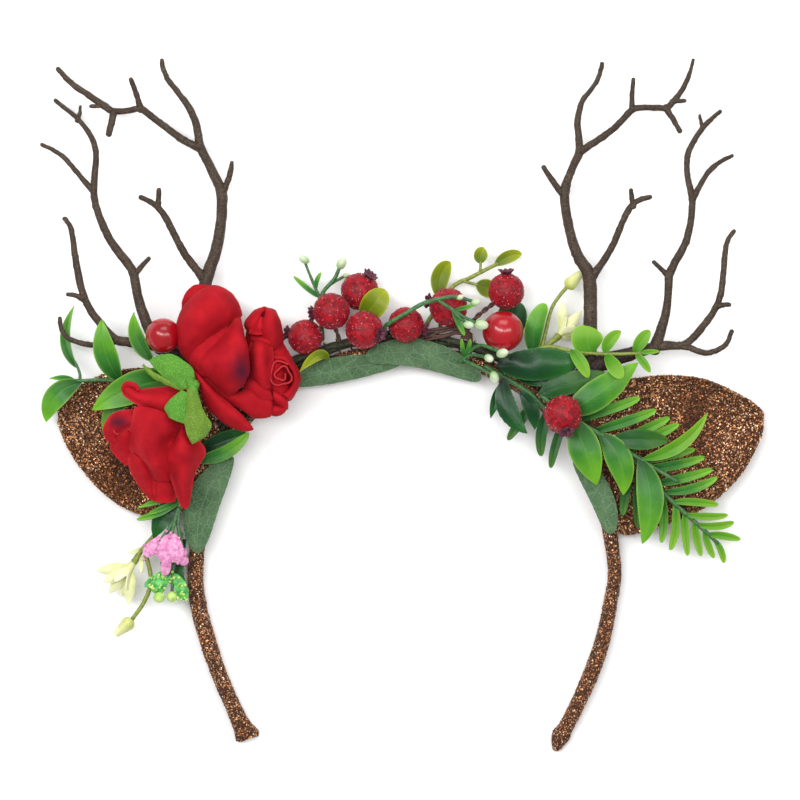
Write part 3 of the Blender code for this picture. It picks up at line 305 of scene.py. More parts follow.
def add_grains(bits, places, ways, size, slot, tint):
    """Small eight-sided crystals that stand on a surface."""
    count = len(places)
    half = size * random.uniform(0.6, 1.3, (count, 1)) / 2
    side = np.cross(ways, random.normal(0, 1, (count, 3)))
    side /= np.linalg.norm(side, axis=1)[:, None]
    other = np.cross(ways, side)
    corners = np.stack([
        places + ways * half * 1.3, places + side * half, places + other * half,
        places - side * half, places - other * half, places - ways * half,
    ], axis=1)
    shape = ((0, 1, 2), (0, 2, 3), (0, 3, 4), (0, 4, 1), (5, 2, 1), (5, 3, 2), (5, 4, 3), (5, 1, 4))
    faces = [tuple(6 * k + c for c in face) for k in range(count) for face in shape]
    bits.add(corners, faces, slot, 0.0, 0.0, np.repeat(tint, 6))


# Materials

class Finish:
    """A Principled material and short ways to add the nodes that it needs."""

    def __init__(self, name, **sockets):
        self.material = bpy.data.materials.new(name)
        self.material.use_nodes = True
        self.tree = self.material.node_tree
        self.shader = self.tree.nodes["Principled BSDF"]
        for socket, value in sockets.items():
            self.shader.inputs[socket.replace("_", " ")].default_value = value
        self.place = self.tree.nodes.new("ShaderNodeTexCoord").outputs["Object"]

    def node(self, kind, links=(), **values):
        made = self.tree.nodes.new("ShaderNode" + kind)
        for word, value in values.items():
            setattr(made, word, value)
        for socket, value in links:
            if isinstance(value, bpy.types.NodeSocket):
                self.tree.links.new(value, made.inputs[socket])
            else:
                made.inputs[socket].default_value = value
        return made

    def value(self, word):
        return self.node("Attribute", attribute_name=word).outputs["Fac"]

    def math(self, operation, *values):
        return self.node("Math", list(enumerate(values)), operation=operation).outputs[0]

    def times(self, *values):
        return self.math("MULTIPLY", *values)

    def plus(self, *values):
        return self.math("ADD", *values)

    def away(self):
        """How far from the midrib, 0 to 1."""
        return self.math("ABSOLUTE", self.value("across"))

    def noise(self, scale, detail=3.0):
        links = [("Vector", self.place), ("Scale", scale), ("Detail", detail)]
        return self.node("TexNoise", links).outputs["Fac"]

    def cells(self, scale, feature="F1"):
        links = [("Vector", self.place), ("Scale", scale)]
        return self.node("TexVoronoi", links, feature=feature).outputs["Distance"]

    def ramp(self, factor, *stops):
        made = self.node("ValToRGB", [(0, factor)])
        while len(made.color_ramp.elements) < len(stops):
            made.color_ramp.elements.new(0.5)
        for element, (at, colour) in zip(made.color_ramp.elements, stops):
            element.position = at
            element.color = (*colour, 1)
        return made.outputs[0]

    def mix(self, factor, one, two):
        made = self.node("Mix", data_type="RGBA")
        for socket, value in ((0, factor), (6, one), (7, two)):
            if isinstance(value, bpy.types.NodeSocket):
                self.tree.links.new(value, made.inputs[socket])
            else:
                made.inputs[socket].default_value = (*value, 1) if socket else value
        return made.outputs[2]

    def colour(self, socket):
        self.tree.links.new(socket, self.shader.inputs["Base Color"])
        return self

    def bump(self, height, distance, strength=1.0):
        links = [("Height", height), ("Distance", distance), ("Strength", strength)]
        self.tree.links.new(self.node("Bump", links).outputs[0], self.shader.inputs["Normal"])
        return self


LIGHT_SHARE = 0.84    # these lights show a surface a little brighter than it is


def sight(red, green, blue):
    """A colour as it is seen under these lights, 0 to 255, as the linear values that a shader takes."""
    return tuple(
        LIGHT_SHARE * (((c / 255 + 0.055) / 1.055) ** 2.4 if c > 10 else c / 255 / 12.92)
        for c in (red, green, blue)
    )


def antler_finish():
    f = Finish("antler_plastic", Roughness=0.55, Specular_IOR_Level=0.25)
    grain = f.noise(1700, 4)
    broad = f.noise(220, 3)
    plain = f.ramp(f.plus(f.times(grain, 0.75), f.times(broad, 0.3)),
                   (0.36, sight(44, 34, 26)), (0.55, sight(72, 58, 46)), (0.72, sight(104, 86, 70)))
    # painted shade: a darker, mottled brown where the antlers run in under the flowers and leaves near the
    # band
    shade_under_flowers = f.ramp(f.noise(900, 6), (0.35, sight(22, 16, 14)), (0.6, sight(58, 42, 36)),
                  (0.75, sight(104, 84, 74)))
    f.colour(f.mix(f.value("tint"), plain, shade_under_flowers))
    return f.bump(f.plus(f.cells(1500), f.times(grain, 0.7)), 0.00022, 0.8).material


def felt_finish():
    f = Finish("glitter_ground", Roughness=0.9)
    f.colour(f.ramp(f.noise(2600, 2), (0.35, sight(34, 19, 11)), (0.65, sight(88, 50, 28))))
    return f.bump(f.noise(3000, 3), 0.0002, 0.6).material


def flake_finish():
    f = Finish("glitter_flake", Roughness=0.38, Metallic=0.6)
    f.colour(f.ramp(f.value("tint"), (0.0, sight(52, 27, 14)), (0.3, sight(132, 80, 48)),
                    (0.6, sight(222, 146, 90)), (0.85, sight(255, 210, 160)), (1.0, sight(255, 246, 232))))
    return f.material


def rose_finish():
    f = Finish("rose_velvet", Roughness=0.8, Specular_IOR_Level=0.1,
               Sheen_Weight=0.06, Sheen_Roughness=0.4, Sheen_Tint=(*sight(255, 90, 100), 1))
    broad = f.noise(130, 3)
    red = f.ramp(broad, (0.3, sight(158, 16, 28)), (0.7, sight(190, 26, 38)))
    edge = f.math("POWER", f.away(), 22.0)
    red = f.mix(f.times(edge, 0.22), red, sight(228, 96, 98))
    f.colour(f.mix(f.value("tint"), red, sight(84, 22, 44)))
    return f.bump(f.noise(5200, 2), 0.00008, 0.35).material


VEINS = 0.5    # how strongly the veins of a moulded leaf stand out


def leaf_finish(name, base, middle, tip, edge, roughness=0.38):
    """A moulded leaf: dark where it joins its stem, bright at its tip, paler along its rim and midrib."""
    base, middle, tip, edge = (sight(*shade) for shade in (base, middle, tip, edge))
    f = Finish(name, Roughness=roughness, Specular_IOR_Level=0.25, Subsurface_Weight=0.12,
               Subsurface_Radius=(0.0006, 0.001, 0.0004))
    along, away = f.value("along"), f.away()
    uneven = f.times(f.math("SUBTRACT", f.noise(110, 3), 0.5), 0.5)
    body = f.ramp(f.plus(along, uneven), (0.08, base), (0.48, middle), (0.86, tip))
    body = f.mix(f.times(f.math("POWER", away, 12.0), 0.75), body, edge)
    slant = f.math("SUBTRACT", f.times(along, 9.0), f.times(away, 2.0))
    ribs = f.math("SINE", f.times(slant, 6.283))
    lines = f.math("POWER", f.math("ABSOLUTE", ribs), 10.0)
    rib = f.math("LESS_THAN", away, 0.055)
    mark = f.math("MAXIMUM", rib, f.times(lines, 0.35))
    body = f.mix(f.times(mark, 0.22 * VEINS), body, edge)
    # painted shade: a tint of 1 darkens a whole leaf towards its base colour; the shaded blades of some
    # sprigs carry it
    f.colour(f.mix(f.times(f.value("tint"), 0.72), body, tuple(0.9 * c for c in base)))
    height = f.plus(f.times(mark, -0.6), f.noise(1100, 2))
    return f.bump(height, 0.00012, VEINS).material


def velvet_leaf_finish():
    f = Finish("velvet_leaf", Roughness=0.92, Sheen_Weight=0.04, Specular_IOR_Level=0.15)
    away = f.away()
    net = f.math("LESS_THAN", f.cells(900, "DISTANCE_TO_EDGE"), 0.07)
    broad = f.math("LESS_THAN", f.cells(230, "DISTANCE_TO_EDGE"), 0.035)
    rib = f.math("LESS_THAN", away, 0.04)
    veins = f.plus(f.times(net, 0.26), f.times(f.math("MAXIMUM", broad, rib), 0.32))
    veins = f.math("MINIMUM", veins, 1.0)
    pile = f.noise(3000, 2)
    body = f.ramp(f.plus(f.times(pile, 0.5), f.times(f.noise(160, 3), 0.5)),
                  (0.36, sight(62, 92, 62)), (0.62, sight(94, 124, 88)))
    f.colour(f.mix(veins, body, sight(122, 150, 116)))
    return f.bump(f.plus(pile, f.times(veins, -0.5)), 0.00015, 0.5).material


def woven_finish():
    f = Finish("sepal_weave", Roughness=0.8, Specular_IOR_Level=0.2)
    dots = f.cells(2100)
    base = f.mix(f.value("tint"), sight(92, 156, 50), sight(118, 148, 48))
    base = f.mix(f.times(f.noise(140, 2), 0.6), base, sight(52, 112, 34))
    f.colour(f.mix(f.ramp(dots, (0.12, (0.6, 0.6, 0.6)), (0.4, (0, 0, 0))), base, sight(168, 206, 116)))
    return f.bump(dots, 0.0002, 0.5).material


def berry_finish():
    f = Finish("berry_red", Roughness=0.5, Specular_IOR_Level=0.3, Subsurface_Weight=0.1,
               Subsurface_Radius=(0.002, 0.0005, 0.0004))
    f.colour(f.ramp(f.noise(500, 3), (0.35, sight(118, 6, 24)), (0.65, sight(182, 10, 28))))
    return f.bump(f.noise(1400, 3), 0.0003, 0.7).material


def sugar_finish():
    f = Finish("berry_sugar", Roughness=0.3, Specular_IOR_Level=0.3)
    f.colour(f.ramp(f.value("tint"), (0.0, sight(96, 6, 28)), (0.6, sight(176, 16, 36)),
                    (0.88, sight(196, 70, 92)), (1.0, sight(255, 226, 230))))
    return f.material


def crown_finish():
    f = Finish("berry_crown", Roughness=0.35)
    f.colour(f.ramp(f.noise(1500, 3), (0.35, sight(40, 8, 20)), (0.65, sight(116, 40, 66))))
    return f.bump(f.noise(2200, 3), 0.0003, 0.8).material


def gloss_finish():
    f = Finish("berry_lacquer", Roughness=0.3, Specular_IOR_Level=0.3, Coat_Weight=0.5, Coat_Roughness=0.06)
    f.colour(f.ramp(f.noise(90, 3), (0.3, sight(150, 6, 20)), (0.7, sight(186, 14, 30))))
    return f.bump(f.noise(260, 3), 0.0002, 0.25).material


def plain_finish(name, dark, light, roughness=0.5, scale=900, tip=None):
    """Moulded or taped stuff: two shades in fine noise, and another towards the tip where one is given."""
    f = Finish(name, Roughness=roughness, Subsurface_Weight=0.1, Subsurface_Radius=(0.001, 0.001, 0.0005))
    body = f.ramp(f.noise(scale, 3), (0.35, sight(*dark)), (0.65, sight(*light)))
    if tip:
        body = f.mix(f.value("along"), body, sight(*tip))
    f.colour(body)
    return f.bump(f.noise(scale * 2, 3), 0.00015, 0.4).material


ANTLER = antler_finish()
FELT, FLAKE = felt_finish(), flake_finish()
ROSE = rose_finish()
VELVET = velvet_leaf_finish()
WOVEN = woven_finish()
BERRY, SUGAR, CROWN, GLOSS = berry_finish(), sugar_finish(), crown_finish(), gloss_finish()
BRIGHT_LEAF = leaf_finish("leaf_bright", (14, 70, 30), (50, 122, 34), (112, 178, 38), (150, 196, 74))
DARK_LEAF = leaf_finish("leaf_dark", (6, 36, 18), (12, 62, 28), (34, 100, 36), (64, 124, 60), 0.3)
FRESH_LEAF = leaf_finish("leaf_fresh", (56, 126, 26), (92, 154, 28), (124, 176, 36), (158, 198, 70), 0.42)
LIME_LEAF = leaf_finish("leaf_lime", (76, 100, 16), (104, 124, 14), (160, 170, 20), (190, 196, 50), 0.4)
FERN_LEAF = leaf_finish("leaf_fern", (16, 70, 34), (50, 122, 40), (122, 184, 48), (120, 172, 66), 0.4)
STEM_GREEN = plain_finish("stem_green", (36, 86, 44), (70, 124, 60), 0.45)
STEM_OLIVE = plain_finish("stem_olive", (112, 128, 44), (150, 160, 66), 0.5)
STEM_BROWN = plain_finish("stem_brown", (48, 22, 20), (104, 66, 48), 0.5, 1800)
TAPE = plain_finish("stem_tape", (26, 34, 20), (62, 66, 36), 0.7, 700)
CREAM = plain_finish("cream_plastic", (186, 196, 90), (216, 220, 130), 0.5, 400, (246, 246, 206))
PIP = plain_finish("pip_plastic", (232, 240, 212), (240, 244, 226), 0.35, 300, (128, 176, 90))
PINK = plain_finish("pink_foam", (214, 120, 178), (240, 178, 214), 0.6, 700)
GREEN_FOAM = plain_finish("green_foam", (40, 142, 56), (104, 206, 92), 0.5, 600)
BEAD = plain_finish("green_bead", (150, 206, 84), (214, 238, 140), 0.4, 500)


# The band, its bound stems and the ears

ARCH_CENTRE_Y, ARCH_HALF_WIDTH, ARCH_RISE = -50.0, 75.0, 69.0
BAND_WIDTH, BAND_DEPTH, STEM_OFFSET = 5.4, 8.0, 5.4
TAPE_RADIUS = 2.35

# The wires that are bound together: how far outside the arch, height, radius
BOUND_WIRES = ((4.4, 5.2, 1.1), (6.4, 5.4, 1.15), (5.5, 7.0, 1.0), (5.4, 4.2, 1.1))

# Each arm below the arch: x, y, width across, depth
LEFT_ARM = (
    (-74.6, -57.0, 5.5, 8.0), (-73.8, -72.0, 5.7, 8.0), (-70.4, -85.0, 5.8, 8.0),
    (-66.2, -97.5, 5.5, 8.0), (-60.8, -110.0, 5.6, 7.2), (-57.9, -116.4, 6.6, 5.4), (-56.1, -119.8, 8.8, 3.6),
    (-55.7, -120.9, 7.0, 3.2),
)
RIGHT_ARM = (
    (76.4, -57.0, 4.8, 8.0), (75.0, -72.0, 4.8, 8.0), (72.0, -86.0, 5.3, 8.0),
    (67.8, -98.0, 5.6, 8.0), (62.4, -110.0, 5.2, 7.2), (59.0, -116.6, 5.4, 5.4), (57.0, -120.2, 6.4, 4.2),
    (55.7, -124.2, 3.2, 3.0), (55.5, -125.2, 1.2, 2.4),
)


def arch_point(angle, offset=0.0):
    turn = math.radians(angle)
    return (
        (ARCH_HALF_WIDTH + offset) * math.cos(turn),
        ARCH_CENTRE_Y + (ARCH_RISE + offset) * math.sin(turn),
    )


def make_band():
    arch = [(*arch_point(angle), BAND_WIDTH, BAND_DEPTH) for angle in range(160, 19, -14)]
    rows = catmull([*reversed(LEFT_ARM), *arch, *RIGHT_ARM], 9)
    sides = 22
    turns = 2 * math.pi * (np.arange(sides) + 0.5) / sides
    heading = np.gradient(rows[:, :2], axis=0)
    heading /= np.linalg.norm(heading, axis=1)[:, None]
    rings = []
    for i, ((x, y, width, depth), (hx, hy)) in enumerate(zip(rows, heading)):
        wrap = 1 + 0.035 * noise.noise(Vector((i * 0.35, 0, 0)))
        ring = []
        for turn in turns:
            lump = 1 + 0.07 * noise.noise(Vector((x * 0.3, y * 0.3, 3 * math.cos(turn))))
            out = math.sin(turn) * width / 2 * wrap * lump
            up = depth / 2 * (1 - math.cos(turn) * min(lump, 1.0))
            ring.append((x + hy * out, y - hx * out, max(up, 0.02)))
        rings.append(ring)
    bits = Bits()
    faces = grid_faces(len(rings), sides, wrap=True)
    faces += [tuple(reversed(range(sides))), tuple(range((len(rings) - 1) * sides, len(rings) * sides))]
    bits.add(np.array(rings), [tuple(reversed(face)) for face in faces])
    places, ways = scatter(bits, BAND_FLAKES, -0.6)
    add_flakes(bits, places, ways, 0.42, 0.38, 1, random.beta(1.2, 1.7, len(places)))
    bits.make("band_glitter", [FELT, FLAKE], "headband")


def make_stems():
    """The bound stems: wires that lie beside each other round the arch, wound with tape."""
    bits = Bits()
    for k, (offset, height, radius) in enumerate(BOUND_WIRES):
        rows = []
        for angle in range(146, 33, -7):
            x, y = arch_point(angle, offset + 0.5 * math.sin(angle * 0.2 + 2 * k))
            rows.append((x, y, height + 0.3 * math.cos(angle * 0.3 + k), radius))
        bits.tube(rows, 10, 3, rough=0.25)
    for k in range(5):
        rise, sway = 0.8 * k, 0.5 * math.sin(2.3 * k)
        bits.tube((
            (2.6, 21.4 + rise, 8.8, 0.5), (8.4, 23.2 + rise + sway, 9.8, 0.55),
            (14.6, 24.4 + rise - sway, 10.2, 0.55), (20.8, 25.6 + rise * 0.8, 9.6, 0.5),
            (25.0, 22.0 + rise, 8.4, 0.45),
        ), 8, 4, 1)
    for angle in np.arange(142, 37, -3.2):
        x, y = arch_point(angle, STEM_OFFSET)
        turn = math.radians(angle)
        ring = [
            (x + math.cos(turn) * TAPE_RADIUS * math.cos(s), y + math.sin(turn) * TAPE_RADIUS * math.cos(s),
             5.6 + 2.3 * math.sin(s), 0.35)
            for s in np.arange(0, 6.0, 0.5)
        ]
        bits.tube(ring, 6, 2)
    bits.make("stem_bundle_taped", [TAPE, STEM_BROWN], "stem_bundle")


# upper x, upper y, lower x, lower y, middle height, how far the edges stand up
RIGHT_EAR = (
    (64.8, -11.6, 76.4, -44.0, 9.35, 0.0), (78.0, 6.6, 80.4, -47.0, 5.0, 1.6),
    (87.0, 9.6, 90.0, -44.8, 1.8, 4.5), (97.0, 10.3, 101.0, -41.1, 0.9, 6.5),
    (108.0, 9.0, 112.0, -34.8, 0.8, 7.0), (118.6, 4.8, 121.4, -25.4, 1.8, 5.5),
    (126.4, 0.5, 127.2, -16.2, 4.0, 3.0), (130.2, -3.0, 130.0, -8.6, 6.0, 0.6),
)
LEFT_EAR = (
    (-64.8, -12.0, -75.6, -37.0, 9.25, 0.0), (-77.0, 10.5, -84.0, -39.4, 5.0, 1.6),
    (-86.0, 12.5, -92.0, -40.2, 1.8, 4.2), (-96.0, 12.8, -101.0, -36.8, 0.9, 5.5),
    (-106.0, 11.2, -109.4, -30.3, 0.8, 6.0), (-114.5, 7.8, -116.4, -21.9, 1.8, 4.5),
    (-120.6, 2.2, -121.6, -12.8, 3.4, 2.4), (-124.3, -2.6, -124.2, -6.0, 4.6, 0.6),
)


def make_ear(side, rows, node, shaded_hollow):
    """A cupped felt sheet, coated with glitter. The last argument is where the cup is deepest; its flakes are
    painted darker there, as painted shade.
    """
    smooth = catmull(rows, 6)
    u = np.linspace(-1, 1, 31)
    grid = []
    for ux, uy, lx, ly, middle, rise in smooth:
        upper, lower = np.array((ux, uy)), np.array((lx, ly))
        flat = (upper + lower) / 2 + np.outer(u, upper - lower) / 2
        grid.append(np.column_stack([flat, middle + rise * u**2]))
    grid = crumple(np.array(grid), 14.0, 0.5, 5.0)
    grid[..., 2] = np.maximum(grid[..., 2], EAR_THICKNESS / 2 + 0.3)
    bits = Bits()
    bits.sheet(grid, EAR_THICKNESS)
    places, ways = scatter(bits, EAR_FLAKES)
    # painted shade: the flakes grow darker towards the deepest part of the cup
    x, y = places[:, 0] - shaded_hollow[0], places[:, 1] - shaded_hollow[1]
    dark = np.exp(-((x / shaded_hollow[2]) ** 2) - (y / shaded_hollow[3]) ** 2)
    tint = random.beta(1.0, 1.35, len(places)) * (1 - 0.62 * dark)
    flakes = Bits()
    add_flakes(flakes, places, ways, 0.5, 0.42, 0, tint)
    ear = bits.make(f"ear_{side}_felt", [FELT], node)
    flakes.make(f"ear_{side}_flakes", [FLAKE], node)


# Antlers: each branch is rows of x, y, z, radius. The first of each is the bar that is bound to the band.

LEFT_ANTLER = (
    ((-57, 2, 10.8, 2.5), (-63, 8, 11, 2.7), (-71, 14, 11.2, 2.7), (-80, 18, 11.4, 2.4),
     (-90, 21.4, 11.6, 2.1), (-98, 22.4, 12, 1.8), (-104, 23.8, 12.4, 1.7), (-109.4, 30, 13.2, 1.45),
     (-112.9, 35, 13.8, 1.4), (-115.6, 42, 14.2, 1.4), (-117.2, 50, 14.2, 1.3), (-118, 55, 13.7, 1.2),
     (-118.7, 60, 13.2, 1.1), (-119.6, 64, 12.6, 1), (-121.7, 66.9, 12, 0.85)),
    ((-102.6, 23, 12.4, 1.2), (-107, 22, 12.8, 1.05), (-112, 21.4, 13.2, 1.05), (-118, 22.8, 13.4, 0.95),
     (-121.4, 24.8, 13.1, 0.95), (-123, 28.2, 12.8, 0.85), (-123.3, 31, 12.6, 0.8)),
    ((-115, 38, 14.2, 1.1), (-117.6, 39.2, 14.6, 0.9), (-120.4, 39.6, 15, 0.75)),
    ((-87, 20, 11.6, 2.1), (-90.4, 25.6, 12, 2.1), (-93.2, 32, 12.4, 1.95), (-95.3, 39, 12.8, 1.75),
     (-96.6, 46.4, 13.2, 1.7), (-98.6, 50.4, 13.7, 1.65), (-101.8, 54.4, 14, 1.6),
     (-105.4, 59.6, 13.9, 1.5), (-108.4, 66, 13.7, 1.4), (-110.6, 72.6, 13, 1.35), (-111.1, 78, 12.4, 1.3),
     (-110.5, 86.5, 11.2, 1.15), (-110.6, 92, 10.3, 1.1), (-112.6, 97.2, 9.3, 1), (-116.6, 102.4, 8.2, 0.9),
     (-120.6, 105.9, 7.3, 0.85), (-125.3, 109.7, 6.4, 0.75)),
    ((-96.4, 46.6, 13.2, 1.1), (-94, 49.4, 13.9, 0.9), (-91.2, 52.5, 14.6, 0.8)),
    ((-111.2, 76.6, 12.4, 1.15), (-114.6, 80.5, 12, 1), (-118.3, 84.9, 11.3, 0.95), (-122, 89, 10.4, 0.9),
     (-126, 91.8, 9.3, 0.8), (-130, 93.7, 8.4, 0.7)),
    ((-117.2, 102.2, 8, 0.85), (-116.4, 104.8, 8.4, 0.75), (-116.1, 107.4, 9, 0.6)),
    ((-69, 12.6, 11.1, 2.6), (-71, 24, 11, 2.5), (-71.4, 36, 10.7, 2.4), (-71, 43.4, 10.5, 2.4),
     (-69.2, 49.6, 10.3, 2.2), (-67.2, 55.4, 10.1, 2.1), (-65.5, 65, 9.8, 1.95), (-65.1, 71, 9.7, 1.95),
     (-65.3, 77, 9.6, 2), (-67.4, 81.6, 9.4, 1.8), (-70.2, 87.4, 9.2, 1.65), (-72.8, 92.6, 9, 1.65),
     (-73.6, 97, 8.7, 1.5), (-74.7, 102, 8.3, 1.4), (-77, 107, 7.6, 1.3), (-80.7, 112.2, 6.8, 1.1),
     (-84.4, 116.9, 6, 1), (-86.3, 121, 5.2, 0.9), (-86.9, 124.2, 4.8, 0.85)),
    ((-71.6, 45.4, 10.4, 1.75), (-73.8, 48.2, 10.9, 1.5), (-77.2, 52.4, 11.7, 1.45),
     (-80.2, 57.4, 12.6, 1.35), (-82.9, 62.7, 13.4, 1.3), (-85.2, 67.2, 14, 1.3), (-88.1, 70.9, 14.6, 1.15),
     (-91.2, 73.2, 15, 1), (-94.1, 74.5, 15.4, 0.95)),
    ((-88, 71, 14.6, 1.05), (-87.7, 74, 15.2, 1), (-87.6, 77.2, 15.8, 0.85)),
    ((-65, 76.4, 9.6, 1.3), (-63.6, 79, 10.2, 1.15), (-62.3, 82.4, 10.8, 1.05), (-61.4, 87, 11.6, 0.85)),
    ((-72.8, 92.4, 9, 1.55), (-76.2, 93.8, 9.4, 1.4), (-80.4, 96.2, 10.1, 1.4), (-85.6, 100.1, 10.9, 1.3),
     (-90, 103.4, 11.5, 1.25), (-94.2, 106.4, 12, 1.3), (-98.8, 105.8, 12.3, 1.1),
     (-103.8, 105.5, 12.6, 1.2), (-106.4, 106.8, 12.3, 1.35), (-110.2, 109.4, 11.6, 1.25),
     (-114.2, 112.2, 10.8, 1.2), (-118.2, 114.8, 9.9, 1.15), (-121.4, 117.8, 9, 1.05),
     (-124.3, 121, 8, 0.85)),
    ((-94.1, 106, 12, 1.2), (-95.2, 110, 12.6, 1.05), (-96.4, 113.4, 13.3, 1), (-97.7, 117, 14, 0.85)),
    ((-107.8, 107.8, 12, 0.9), (-110, 107.4, 12.6, 0.8), (-112.2, 107.3, 13, 0.7)),
    ((-103.8, 105.6, 12.6, 1.25), (-104.8, 101, 13.5, 1.2), (-105.6, 97.2, 14.4, 1.15)),
)

RIGHT_ANTLER = (
    ((57, 2, 10.8, 2.5), (62, 8.4, 11, 2.9), (68, 13, 11.2, 3.2), (74, 15.8, 11.4, 2.95),
     (82, 18.2, 11.6, 2.5), (90, 20.4, 11.9, 1.9), (95, 21.2, 12.1, 1.7), (100.4, 21.2, 12.4, 1.35),
     (104, 23.4, 12.6, 1.4), (108.2, 28.2, 13.2, 1.35), (112, 33.4, 13.8, 1.25), (114.4, 39.4, 14, 1.2),
     (115.4, 47, 14.1, 1.15), (116, 53.5, 13.5, 1.05), (116.9, 58.6, 12.9, 0.95),
     (119.3, 62.4, 12.2, 0.85)),
    ((99.6, 21.2, 12.3, 1.25), (103.3, 20.4, 12.6, 1.15), (106.8, 19, 12.9, 1.1), (110.2, 18.6, 13, 1.05),
     (114, 19.9, 13, 1), (116.8, 22.2, 12.7, 0.95), (118.5, 26.4, 12.4, 0.8)),
    ((113, 35, 14, 1), (115.2, 35.8, 14.6, 0.9), (117.6, 35.9, 15, 0.75)),
    ((90.5, 19.6, 11.8, 2), (92.8, 26, 12.4, 1.9), (94.8, 33, 12.9, 1.6), (95.6, 40, 13.3, 1.45),
     (96, 46.4, 13.5, 1.6), (98, 51, 13.8, 1.5), (101.4, 57.2, 14, 1.4), (103.3, 63.4, 13.8, 1.3),
     (104.1, 69.4, 13.2, 1.25), (104.1, 75, 12.4, 1.3), (102.9, 80.6, 11.6, 1.15), (102.4, 86, 10.8, 1.1),
     (103, 90.6, 10.1, 1.1), (105.2, 95.2, 9.2, 1.05), (108.6, 100, 8.1, 1), (111.3, 102.8, 7.2, 0.9),
     (114.6, 105.8, 6, 0.75)),
    ((96, 45.6, 13.5, 1.1), (93.2, 48.6, 14.2, 0.9), (90.3, 51.2, 14.8, 0.75)),
    ((104.3, 73.6, 12.6, 1.15), (107, 78.6, 12.1, 1.05), (110.2, 83.7, 11.4, 1), (114.2, 87.2, 10.4, 0.9),
     (118.8, 89.7, 9, 0.7)),
    ((108.3, 99.4, 8, 0.8), (107.7, 101.6, 8.6, 0.7), (107.1, 104.2, 9.2, 0.55)),
    ((67, 12.8, 11.1, 2.6), (67.6, 24, 11, 2.5), (67.7, 35, 10.7, 2.5), (67.5, 44, 10.4, 2.45),
     (66.6, 48.2, 10.3, 2.35), (64, 52, 10.2, 2.1), (62, 56.4, 10, 1.95), (60.5, 61.6, 9.9, 1.8),
     (59.3, 67.4, 9.7, 1.75), (58.5, 72.6, 9.6, 1.75), (58.5, 77, 9.5, 1.8), (59.6, 81, 9.4, 1.55),
     (61.5, 85.9, 9.2, 1.45), (63.7, 90.8, 9, 1.6), (63.6, 95.7, 8.6, 1.35), (63.1, 101, 8, 1.25),
     (63.7, 105.7, 7.4, 1.15), (65.2, 110, 6.8, 1.05), (67.9, 113.4, 6.1, 0.95), (70.4, 117.2, 5.4, 0.9),
     (72.1, 122.9, 4.6, 0.85)),
    ((68.6, 46.6, 10.4, 1.6), (70.6, 49.2, 10.9, 1.35), (73, 52.6, 11.6, 1.25), (76.1, 58.2, 12.6, 1.25),
     (78.5, 64, 13.4, 1.2), (80.9, 69.3, 14.1, 1.2), (83.2, 72.3, 14.5, 1.1), (85.8, 73.8, 14.9, 1),
     (89, 74.6, 15.2, 0.95)),
    ((82.9, 71, 14.4, 1), (82.5, 74, 15, 0.95), (82.1, 77, 15.6, 0.85)),
    ((58.4, 75.4, 9.6, 1.4), (56.6, 77, 10.1, 1.15), (53.8, 81, 11.1, 1.05), (50.7, 85.4, 12, 0.9)),
    ((63.9, 91.2, 9, 1.5), (66.6, 92.8, 9.5, 1.3), (70.4, 95.2, 10.3, 1.3), (75, 98.5, 11.1, 1.25),
     (79, 102.2, 11.7, 1.2), (82.6, 106, 12.2, 1.25), (86.4, 106.9, 12.3, 1.1), (91, 106.8, 12.5, 1.1),
     (95.2, 106.8, 12.6, 1.2), (97.6, 109.2, 12, 1.1), (100.3, 112.7, 11, 1), (102.9, 117.6, 9.8, 0.85),
     (104.9, 124.2, 8.2, 0.6)),
    ((82.7, 105.8, 12.2, 1.1), (82.6, 110, 12.8, 0.95), (82.7, 113.4, 13.4, 0.85), (83.1, 117, 14, 0.7)),
    ((97, 108.8, 12.2, 1), (99.2, 109.2, 12.8, 0.85), (101.6, 109.2, 13.4, 0.7)),
    ((94.6, 107, 12.6, 1.15), (97, 103.2, 13.4, 1), (99.8, 98.3, 14.2, 0.9)),
)


def make_antler(name, branches, node):
    bits = Bits()
    for k, rows in enumerate(branches):
        bits.tube(rows, 14, 5, rough=0.22, flare=0.0 if k == 0 else 0.3)
    points = np.concatenate(bits.points)
    # painted shade mask: 1 where the antlers run under the flowers and leaves near the band, fading out over
    # 8 mm
    under_flowers_shade = np.clip((27 - points[:, 1]) / 8, 0, 1) * np.clip((93 - np.abs(points[:, 0])) / 8, 0, 1)
    values = np.concatenate(bits.values)
    values[:, 2] = under_flowers_shade
    bits.values = [values]
    bits.make(name, [ANTLER], node)


# Roses. A petal is rows of left, middle and right points, from where it is joined to its rim.

